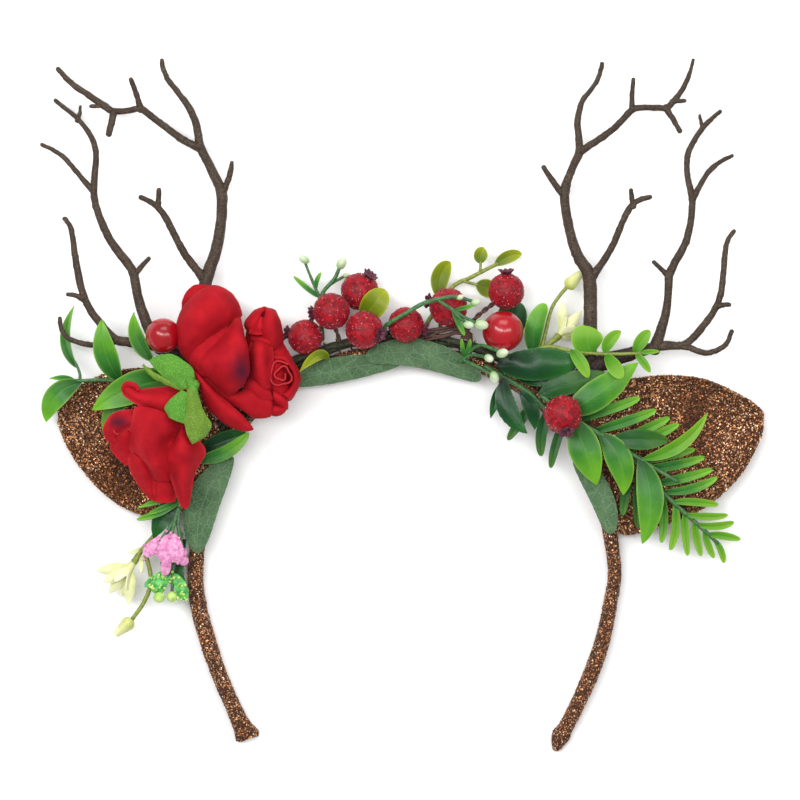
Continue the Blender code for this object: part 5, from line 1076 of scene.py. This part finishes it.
# Sprigs: tubes for the stems, blades for the leaves, balls for pips and buds. A blade is base, middle, tip,
# width, cup, outline, and the fern's leaflets, which leave out the last two, share LEAFLET.
LEAFLET = (0.25, "strap")
SPRIGS = {
    "laurel_sprig": (
        (((50, 3, 12.6, 0.8), (57, -2, 15.6, 0.8), (64, -6.6, 16.4, 0.8), (76, -13.6, 16.3, 0.8),
         (88, -21.2, 15.6, 0.8), (98.6, -27.6, 15.6, 0.7)),),
        (((49, 3.4, 12.8), (59.6, 7.6, 15.2), (73.6, 11.4, 15), 8, -0.1, "pointed"), ((58.6, -3.2, 16),
         (70.8, 4.2, 19), (84.6, 15, 15.6), 10.6, -0.25, "pointed"), ((61.4, -5.2, 16.4),
         (65.6, -16.6, 19.4), (69.8, -28.8, 15.4), 11.4, -0.25, "pointed"), ((71, -10.6, 16.4),
         (78, -20.2, 18.4), (79.4, -32.4, 14.6), 9.4, -0.25, "pointed"), ((85, -19.4, 16), (89, -34, 19),
         (86.2, -50, 15.6), 9.6, -0.25, "pointed"), ((75, -12.6, 16.4), (86, -12.6, 18), (95.8, -13, 16),
         7.4, 0.15, "pointed"), ((86, -19.6, 15.8), (99.6, -14.4, 20), (109.4, -3, 21.4), 4.8, 0.3,
         "pointed")),
        (),
    ),
    "fern_sprig": (
        (((30, 13.6, 9.4, 1), (44, 5.4, 9.6, 0.95), (53, -2.4, 10.2, 0.9), (64, -8, 12.2, 0.9),
         (74, -13.4, 12.8, 0.9), (84, -21, 12.8, 0.9), (93, -31, 12.6, 0.9), (101.5, -39, 11.8, 0.85),
         (109, -45.6, 10.6, 0.8), (113.5, -50, 9.8, 0.65)),),
        (((61, -6, 11.6), (75.4, -1.4, 13.8), (85.4, 2.4, 12.8), 3.6), ((68, -10, 12.4), (81.4, -5.8, 14),
         (91.2, -2, 13), 3.6), ((76, -14.6, 12.8), (87.6, -9, 14.2), (96, -4.8, 13.4), 3.4),
         ((79.6, -17.4, 12.8), (91, -11.4, 14), (99.4, -7, 13.6), 3.4), ((84, -21, 12.8),
         (95.4, -18.4, 13.8), (105.2, -16.2, 13.4), 3.2), ((86.4, -23.6, 12.8), (98, -21.8, 13.6),
         (108.6, -19, 13.4), 3.4), ((91, -28.6, 12.8), (101.4, -26.4, 13.4), (111.4, -23.4, 13.4), 3.4),
         ((93.6, -31.6, 12.6), (104.4, -30.2, 13.4), (113.2, -26.2, 13.8), 3.2), ((97.4, -35, 12.2),
         (106, -35.2, 13), (113.6, -36.2, 13.4), 2.8), ((102, -39.6, 11.8), (110, -40.4, 12.6),
         (117, -39.8, 12.8), 2.7), ((106, -43.2, 11.2), (113, -43.8, 12), (119.2, -42.4, 12.2), 2.7),
         ((110, -46.8, 10.4), (116, -47.4, 11.4), (121.6, -48.6, 11.4), 2.7), ((81.6, -19.4, 12.8),
         (80.4, -31, 12.4), (79.2, -40, 11.4), 3.4), ((85, -22, 12.8), (84.2, -34, 12.2),
         (84.6, -44.4, 11.6), 2.6), ((92, -29.6, 12.8), (94, -39.6, 12.2), (93.2, -49.8, 11.4), 3.2),
         ((98, -35.8, 12.2), (98.4, -44.4, 11.8), (96.4, -52.4, 11.2), 3.2), ((101.6, -39, 11.8),
         (102, -47, 11.4), (102.7, -54.4, 11), 2.8), ((105, -42.2, 11.4), (106, -48.4, 10.8),
         (107.6, -54.6, 10.4), 2.7), ((108.6, -45.4, 10.6), (110, -50.4, 10.2), (112.2, -55.2, 9.8), 2.5),
         ((112.6, -49, 9.8), (114.8, -52.8, 9.6), (115.8, -57, 9.4), 2.5), ((53, -1.6, 10.4),
         (50.2, -9.8, 9.8), (50, -18.6, 8.8), 4), ((58.6, -5.2, 11.2), (55.4, -13.8, 10.6),
         (53.4, -22.8, 9.8), 3.2), ((48, 2.4, 10), (42.6, -5.8, 9.2), (38, -12.8, 8.4), 3.4)),
        (),
    ),
    "boxwood_sprig_right": (
        (((43, 17.4, 13.6, 0.7), (52, 20.8, 13.8, 0.7), (62, 19, 15.4, 0.65), (75, 18.1, 15.4, 0.6),
         (86, 18.5, 15, 0.55)),),
        (((68, 18.4, 15.4), (66.4, 23, 17), (66.8, 28, 17), 11.4, -0.1, "round"), ((60.4, 19.4, 15.6),
         (63.8, 15.4, 18.4), (66.6, 9.6, 19), 4.6, 0.2, "oval"), ((72.8, 18.2, 15.4), (74.4, 22.8, 17),
         (78.4, 26.2, 17), 4.4, 0.15, "oval"), ((73.2, 18, 15.4), (76, 13.6, 19.4), (78.8, 9.4, 20.4), 5.2,
         -0.1, "oval"), ((83.4, 18.4, 15), (85.8, 22.8, 16.4), (88.9, 26.6, 16.6), 4.6, 0.15, "oval"),
         ((83.8, 18.4, 15), (86.4, 15.4, 16.4), (89, 11.6, 16.6), 2.9, 0.15, "oval"), ((85, 18.5, 15),
         (88.4, 18.9, 15.4), (92.4, 19.1, 15.4), 1.8, 0.1, "oval")),
        (),
    ),
    "boxwood_sprig_left": (
        (((-79, 9.4, 8.6, 0.8), (-90, 8, 10, 0.8), (-100, 8.2, 10.8, 0.75), (-108, 8.8, 11.4, 0.7),
         (-116, 8.6, 11.4, 0.65), (-123, 9.2, 11.2, 0.55)), ((-116, 8.6, 11.4, 0.6),
         (-116.4, 11.6, 10.6, 0.55), (-118, 15.4, 9.8, 0.5))),
        (((-101.4, 8.4, 11), (-106.8, 18.4, 16.2), (-108, 30.4, 17.4), 8.2, 0.2, "pointed"),
         ((-115.6, 8, 11.4), (-124.6, 3, 11.8), (-128.4, -6.4, 9.8), 8.2, 0.15, "pointed"),
         ((-117, 13, 10.2), (-121.6, 23, 9), (-118.4, 35.4, 8.8), 3.8, 0.2, "pointed"), ((-118, 9, 11.4),
         (-122.4, 9.6, 11.8), (-127, 9.3, 11.6), 2, 0.1, "pointed")),
        (),
    ),
    "lime_sprig": (
        (((7.2, 26.8, 5.2, 0.8), (17, 41.4, 4.6, 0.8), (25, 46, 5.4, 0.75), (34, 50.6, 6.2, 0.7)),
         ((28, 47.6, 5.8, 0.6), (28.2, 51.4, 6.2, 0.5)), ((22.4, 44.4, 5.2, 0.6), (27, 43.2, 5, 0.5))),
        (((33.4, 50.2, 6.2), (38, 53.2, 6.6), (43, 54.3, 6.6), 4.6, 0.15, "oval"), ((28.2, 50.8, 6.2),
         (28.2, 53.8, 6.6), (29, 56.8, 6.8), 5, 0.15, "oval"), ((26.6, 43.3, 5), (30.4, 42, 4.6),
         (34.4, 40, 4.2), 6.4, 0.15, "oval")),
        (),
    ),
    "pip_sprig_left": (
        (((-28.9, 23.5, 5, 0.8), (-29.4, 38.4, 4.8, 0.8), (-24.8, 45, 5.4, 0.75), (-22.6, 49.6, 5.8, 0.7)),
         ((-29.4, 37.4, 4.8, 0.7), (-32.4, 44.2, 5, 0.55), (-35.4, 51.8, 5.2, 0.55)),
         ((-25.8, 43.6, 5.3, 0.6), (-20.8, 46.4, 3.8, 0.5))),
        (((-29.6, 38.6, 4.8), (-34.2, 41.8, 5), (-39.2, 46.2, 5), 1.9, 0.1, "strap"), ((-31.2, 41.4, 4.9),
         (-31, 44.4, 5.2), (-29.4, 47.6, 5.4), 1.7, 0.1, "strap")),
        ((-22, 51, 5.9, 2.3), (-35.6, 52.4, 5.2, 2), (-20.4, 46.6, 3.6, 1.3)),
    ),
    "pip_sprig_centre": (
        (((-7, 25.6, 9, 0.8), (-5.6, 28.6, 19.4, 0.8), (0.8, 32.4, 21.4, 0.8), (7.4, 36.2, 21.8, 0.8),
         (14, 38, 21.8, 0.75), (19.4, 38.6, 21.6, 0.7), (25.6, 36.9, 21, 0.6)), ((12.6, 37.6, 21.8, 0.7),
         (17, 34.6, 22, 0.65), (22, 31.4, 21.8, 0.6), (26.4, 29.2, 21.2, 0.6)), ((17.6, 34.2, 22, 0.6),
         (20, 31.4, 22.2, 0.55), (22.8, 29.4, 21.8, 0.55))),
        (((18, 33.6, 22), (20, 29.6, 22), (22.2, 24.8, 21.6), 2, 0.1, "strap"), ((18.4, 33.8, 22),
         (22, 34.6, 22.2), (25.4, 35.4, 22), 1.6, 0.1, "strap")),
        ((26.2, 36.7, 20.8, 1.8), (28.2, 28.6, 20.6, 2.5), (23.6, 28.6, 21.6, 1.9),
         (20.6, 38.4, 21.6, 1.3)),
    ),
    "pip_sprig_lower": (
        (((20.4, 15.4, 11.9, 0.7), (25, 17.8, 15.4, 0.6), (30.6, 16.8, 19.2, 0.6)),
         ((21.6, 16.2, 12.8, 0.6), (27.4, 21.2, 17.4, 0.6), (34.8, 19, 22, 0.6)), ((22, 16, 12.8, 0.6),
         (27.4, 13.4, 15.6, 0.6), (31.6, 11, 16.8, 0.6))),
        (((22.4, 17.2, 13.8), (21.6, 20.4, 15.6), (21.2, 23.6, 16.6), 1.6, 0.1, "strap"),
         ((22.4, 17.2, 13.8), (23.8, 20.4, 15.8), (24.3, 23.4, 16.8), 1.6, 0.1, "strap")),
        ((31, 16.6, 19.6, 1.9), (35.8, 18.4, 22.4, 2.2), (33, 9.8, 17.6, 2.2)),
    ),
    "lily_sprig_right": (
        (((45.8, 15.4, 9.2, 0.8), (50, 20.4, 8.6, 0.75), (54, 35, 6.6, 0.65), (59.8, 43, 6.6, 0.7)),
         ((49.6, 20, 8.6, 0.7), (52.6, 21.6, 8.2, 0.8), (56.2, 24.6, 7.6, 1.4))),
        (),
        ((60.6, 43.6, 6.6, 2.5), (62.9, 45.9, 6.6, 1.8), (64.6, 47.4, 6.6, 1.3)),
    ),
    "lily_sprig_left": (
        (((-79.4, -36.4, 10.1, 0.9), (-86, -43.4, 9.4, 0.85), (-93.6, -52, 9, 0.85),
         (-96.6, -56.6, 9.2, 1.3)), ((-93.4, -51.6, 9, 0.8), (-91, -60, 9.8, 0.8), (-91, -66, 10.2, 0.8),
         (-93.6, -72, 10, 0.8), (-97.4, -77.4, 9.4, 0.8))),
        (((-93.4, -51.4, 9), (-96, -52.8, 9.4), (-98.8, -53.4, 9.6), 1.4, 0.1, "oval"),
         ((-93.4, -54.6, 9.4), (-94.2, -57.6, 9.8), (-94, -60.6, 10), 1.6, 0.1, "oval")),
        ((-99, -79, 9.2, 2.6), (-101.4, -81.2, 9.2, 1.8), (-103.4, -82.8, 9.2, 1.3)),
    ),
    "grass_pick": (
        (((-78, -33, 15.4, 0.7), (-80.2, -36.6, 15.6, 0.7)),),
        (((-78.4, -33.6, 15.4), (-87, -34.6, 15.8), (-95.4, -37.4, 15), 2.2, 0.2, "pointed"),
         ((-78.8, -33.8, 15.4), (-86, -37.2, 15.6), (-92, -39.6, 14.8), 2.2, 0.2, "pointed"),
         ((-78.8, -33.8, 15.4), (-87, -38.6, 15), (-95.6, -41.4, 13.8), 2.8, 0.2, "oval")),
        (),
    ),
    "pink_stamen_pick": (
        (((-80.6, -37.4, 14.2, 0.7), (-83.4, -44, 14.9, 0.7), (-88, -50, 15, 0.7)),
         ((-80.6, -37.8, 14.2, 0.7), (-82.6, -45, 15.6, 0.7), (-84, -54, 16, 0.7)),
         ((-80.4, -37.8, 14.2, 0.7), (-80.6, -44, 14.6, 0.7), (-79.2, -52, 14.4, 0.7))),
        (((-85.6, -47.4, 15.2), (-89.6, -51.2, 15.8), (-92.8, -54.2, 14.6), 4.6, -0.2, "round"),
         ((-83.6, -46.6, 16), (-84.6, -51.8, 17.6), (-86.4, -56.6, 16), 6.6, -0.2, "round"),
         ((-83, -46.6, 16.2), (-81.6, -51.8, 17.8), (-81.4, -56.8, 16.2), 5.6, -0.2, "round"),
         ((-84, -53.4, 16), (-85, -57.8, 15.8), (-85.4, -61.4, 14.8), 3.6, -0.2, "round")),
        ((-79.2, -53.2, 14.4, 1.8), (-78.8, -56.2, 14.4, 1.9), (-82.4, -47.6, 15.4, 1.3)),
    ),
    "green_stamen_pick": (
        (((-79.4, -46.6, 11.6, 0.6), (-82.4, -58, 12, 0.6), (-83, -68, 12.4, 0.6)), ((-82.2, -57, 12, 0.6),
         (-87.4, -68, 12.4, 0.6))),
        (((-83.6, -60, 12.2), (-87.4, -64.6, 13.2), (-88.6, -68, 12.4), 5.2, -0.2, "round"),
         ((-82.6, -61, 12.2), (-79.6, -66, 13.4), (-79.2, -70.2, 12.6), 4.4, -0.2, "round"),
         ((-82.8, -59.4, 12), (-88.4, -62.6, 12), (-92.6, -65.6, 11.6), 3.4, -0.1, "round")),
        ((-83, -69.2, 12.5, 2), (-87.6, -69.4, 12.5, 2)),
    ),
}

# How each sprig is finished: its stems, its blades, its balls, its record slot name, which here only decides
# whether its balls are egg-shaped
SPRIG_LOOKS = {
    "laurel_sprig": (STEM_GREEN, BRIGHT_LEAF, BRIGHT_LEAF, "leaf_plastic"),
    "fern_sprig": (STEM_GREEN, FERN_LEAF, FERN_LEAF, "leaf_plastic"),
    "boxwood_sprig_right": (STEM_OLIVE, FRESH_LEAF, FRESH_LEAF, "lime_leaf_plastic"),
    "boxwood_sprig_left": (STEM_GREEN, BRIGHT_LEAF, BRIGHT_LEAF, "leaf_plastic"),
    "lime_sprig": (STEM_OLIVE, LIME_LEAF, LIME_LEAF, "lime_leaf_plastic"),
    "pip_sprig_left": (STEM_GREEN, FERN_LEAF, PIP, "cream_plastic"),
    "pip_sprig_centre": (STEM_GREEN, FERN_LEAF, PIP, "cream_plastic"),
    "pip_sprig_lower": (STEM_GREEN, FERN_LEAF, PIP, "cream_plastic"),
    "lily_sprig_right": (STEM_OLIVE, CREAM, CREAM, "cream_plastic"),
    "lily_sprig_left": (STEM_OLIVE, CREAM, CREAM, "cream_plastic"),
    "grass_pick": (STEM_GREEN, FERN_LEAF, FERN_LEAF, "leaf_plastic"),
    "pink_stamen_pick": (STEM_GREEN, PINK, PINK, "pink_foam"),
    "green_stamen_pick": (STEM_GREEN, GREEN_FOAM, BEAD, "green_foam"),
}

# Trumpet flowers: throat, mouth centre, mouth radius
TRUMPETS = {
    "lily_sprig_right": ((55.6, 24.2, 7.6), (61.2, 29.4, 6.8), 5.2),
    "lily_sprig_left": ((-96.0, -55.8, 9.2), (-103.2, -64.8, 8.6), 6.2),
}


# Where the petals of each flower end
FLOWER_TIPS = {
    "lily_sprig_right": ((57.7, 37.3, 8.6), (64.6, 33.6, 8), (65.0, 27.4, 6.4), (61, 23.8, 5.4)),
    "lily_sprig_left": (
        (-110.3, -59.9, 9), (-107.6, -64.2, 11), (-105.8, -68.2, 8), (-101.4, -69, 6.6), (-98.7, -72.2, 8.4),
    ),
}


def trumpet_grid(throat, mouth, radius, lobes):
    """A flower's flaring wall, as rows of points from its throat to its lobed rim."""
    throat, mouth = np.array(throat), np.array(mouth)
    axis = (mouth - throat) / np.linalg.norm(mouth - throat)
    side = np.cross(axis, (0.2, 0.1, 1.0))
    side /= np.linalg.norm(side)
    other = np.cross(axis, side)
    turns = np.linspace(0, 2 * math.pi, 49)
    rows = []
    for t in np.linspace(0, 1, 20):
        lobe = 1 + 0.24 * np.cos(lobes * turns) * t**3
        wide = radius * (0.2 + 0.8 * t**1.7) * lobe
        out = np.cos(turns)[:, None] * side + np.sin(turns)[:, None] * other
        rows.append(throat + (mouth - throat) * (t * lobe)[:, None] + out * wide[:, None])
    return np.array(rows)


# The cloth sepals, as rows of left, middle and right points from where they are joined to their ragged tips,
# and what joins them: a short stem and a ball of x, y, z, radius
SEPAL_STEM = ((-75.9, 8.6, 30, 1.7), (-74.5, 4, 30.4, 1.7))
SEPAL_JOINT = (-74.6, 7, 29.4, 2.1)
SEPALS = (
    ((-77.4, 5.4, 29.6, -75.4, 7.4, 30.6, -74.2, 9.6, 30),
     (-81.5, 7.3, 27.4, -79, 10.6, 29, -75.2, 13, 28.4),
     (-85.7, 10.1, 26, -83.2, 13.2, 27.6, -80, 16.8, 26.8),
     (-88.8, 13.2, 25, -86.4, 15.4, 26.2, -83, 18, 25.6),
     (-90.8, 15.6, 24.4, -89.4, 16.6, 24.8, -87.4, 17.5, 24.8)),
    ((-78.6, 4.8, 28, -78, 5.6, 28.4, -77.5, 6.4, 28.2),
     (-85.4, 7.6, 25.4, -85.1, 8.5, 26, -84.8, 9.3, 25.8),
     (-89.9, 10.2, 23.8, -89.7, 11, 24.2, -89.5, 11.8, 24),
     (-93.3, 13.9, 22.6, -93.1, 14.3, 22.8, -92.9, 14.7, 22.8)),
    ((-76.6, 3.4, 30.4, -77.4, 4.4, 31, -78.8, 4.8, 30),
     (-77, -1.2, 31.4, -79.6, 1, 32.6, -82.8, 1.8, 30.4),
     (-77.3, -4.8, 31.6, -80.6, -2.4, 33, -84.9, -1.2, 30.4),
     (-77.8, -6.9, 31.6, -80.6, -5.9, 32.4, -83.2, -4.5, 31)),
    ((-74, 6.6, 30.6, -75.4, 6.8, 31.4, -76.8, 5.4, 30.6),
     (-72.6, 1.6, 31.4, -75, 0.6, 33, -77.3, -1, 31.6), (-71, -2.8, 31.4, -74, -4, 33.4, -77.7, -4.5, 31.8),
     (-68.4, -7, 30.8, -73, -8.6, 33.4, -77.2, -9.4, 31.8),
     (-69.6, -10.2, 31, -72.8, -11.4, 32.8, -76, -12.2, 31.6),
     (-72.2, -12.4, 31.4, -73.8, -13.2, 32, -74.8, -14, 31.6)),
)


# The leaves of these sprigs that stay dark up to their tips, as painted shade
SHADED_BLADES = {"fern_sprig": (12, 13, 20, 21, 22), "laurel_sprig": (0, 5)}

# The leaves of these sprigs that are pale all over
PALE_BLADES = {"fern_sprig": (8, 9, 10, 11, 15, 16, 17, 18, 19), "laurel_sprig": (6,)}


# How many stamens stand on each petal of these picks
STAMENS = {"pink_stamen_pick": 7, "green_stamen_pick": 16}


def make_sepals():
    joint = Bits()
    joint.tube(SEPAL_STEM, 10, 5, rough=0.1)
    joint.ball(SEPAL_JOINT[:3], SEPAL_JOINT[3], sides=24, rough=0.05)
    joint.make("sepal_joint", [WOVEN], "rose_sepals")
    bits = Bits()
    for k, rows in enumerate(SEPALS):
        grid = crumple(patch(rows, 14, 6, 0.4), 2.6, 0.5, 5.1 * k)
        bits.sheet(grid, CLOTH_THICKNESS, tint=float(k % 2))
    piece = bits.make("rose_sepals_fine", [WOVEN], "rose_sepals")


def add_flower(bits, bud, throat, mouth, radius, tips):
    """A closed bud, and an open flower: a short trumpet with pointed petals."""
    end = np.array(bud[2][:3]) * 1.02 - np.array(bud[1][:3]) * 0.02
    bits.tube([*bud, (*end, 0.9)], 20, 6, 2)
    short = [t + 0.75 * (m - t) for t, m in zip(throat, mouth)]
    foot = [t + 0.3 * (m - t) for t, m in zip(throat, mouth)]
    bits.sheet(crumple(trumpet_grid(throat, short, radius * 0.62, 5), 3.0, 0.25), FLOWER_WALL, 2)
    for k, tip in enumerate(tips):
        x, y, z = [0.5 * (f + e) for f, e in zip(foot, tip)]
        grid = blade((foot, (x, y, z + 1.0), tip, radius * 0.68, -0.35, "pointed"), 20, 10)
        bits.sheet(crumple(grid, 3.0, 0.4, k), NARROW_LEAF_THICKNESS, 2)


def add_stamens(bits, petal, count):
    base, middle, tip, width = petal[:4]
    for t in random.random(count):
        spot = np.array(middle) * (1 - t) + np.array(tip if random.random() < 0.6 else base) * t
        spot += random.uniform(-0.45, 0.45, 3) * (width, width, 1.6) + (0, 0, 0.6)
        bits.ball(spot, random.uniform(0.4, 0.65), 2, sides=10)


def make_sprig(name, stems, blades, balls):
    stem, leaf, round_piece, slot = SPRIG_LOOKS[name]
    bits = Bits()
    for rows in stems:
        bits.tube(rows, 10, 5, rough=0.1)
    for k, row in enumerate(blades):
        grid = blade((*row, *LEAFLET)[:6], 24, 12, fold=0.6, twist=0.1)
        thickness = LEAF_THICKNESS if row[3] > 3 else NARROW_LEAF_THICKNESS
        pale, dark = k in PALE_BLADES.get(name, ()), k in SHADED_BLADES.get(name, ())
        bits.sheet(crumple(grid, 5.0, 0.35, 1.9 * k), thickness, 3 if pale else 1, tint=float(dark))
    if name in TRUMPETS:
        add_flower(bits, balls, *TRUMPETS[name], FLOWER_TIPS[name])
    elif slot == "cream_plastic":
        for x, y, z, radius in balls:
            away = np.array((x, y, z)) - np.array(stems[0][2][:3])
            bits.ball((x, y, z), radius * 0.86, 2, stretch=(0.88, 0.88, 1.25), point_to=away, rough=0.05)
    else:
        for x, y, z, radius in balls:
            bits.ball((x, y, z), radius, 2, rough=0.05)
    for petal in blades if name in STAMENS else ():
        add_stamens(bits, petal, STAMENS[name])
    bits.make(name + "_fine", [stem, leaf, round_piece, FRESH_LEAF], name)


make_sepals()
for name, sprig in SPRIGS.items():
    make_sprig(name, *sprig)


# Floor, light and camera

def make_stage():
    mesh = bpy.data.meshes.new("table")
    mesh.from_pydata([(-3, -3, 0), (3, -3, 0), (3, 3, 0), (-3, 3, 0)], [], [(0, 1, 2, 3)])
    table = bpy.data.objects.new("table", mesh)
    paper = Finish("paper", Roughness=0.9)
    paper.shader.inputs["Base Color"].default_value = (0.98, 0.98, 0.98, 1)
    mesh.materials.append(paper.material)
    bpy.context.scene.collection.objects.link(table)
    world = bpy.data.worlds.new("studio")
    world.use_nodes = True
    world.node_tree.nodes["Background"].inputs["Color"].default_value = (1, 1, 1, 1)
    world.node_tree.nodes["Background"].inputs["Strength"].default_value = 0.42
    bpy.context.scene.world = world
    bpy.context.scene.view_settings.view_transform = "Standard"
    # x, y, z, width, length, watts
    for k, (x, y, z, wide, long, power) in enumerate((
        (-0.55, 0.25, 1.3, 0.4, 1.2, 15), (0.6, 0.15, 1.35, 0.35, 1.2, 9), (0.1, 1.1, 0.9, 1.0, 0.5, 6),
    )):
        light = bpy.data.lights.new(f"softbox_{k + 1}", "AREA")
        light.shape, light.size, light.size_y, light.energy = "RECTANGLE", wide, long, power
        lamp = bpy.data.objects.new(light.name, light)
        lamp.location = (x, y, z)
        lamp.rotation_euler = Vector((-x, -y, -z)).to_track_quat("-Z", "Y").to_euler()
        bpy.context.scene.collection.objects.link(lamp)


def make_camera():
    """Straight above, 0.36 mm to a pixel of an 800 pixel wide picture at the height of the table."""
    data = bpy.data.cameras.new("camera")
    data.lens, data.sensor_width, data.clip_end = 312.5, 36.0, 20.0
    camera = bpy.data.objects.new("camera", data)
    camera.location = (-0.0009, 0.0016, 2.512)
    bpy.context.scene.collection.objects.link(camera)
    bpy.context.scene.camera = camera


make_stage()
make_camera()
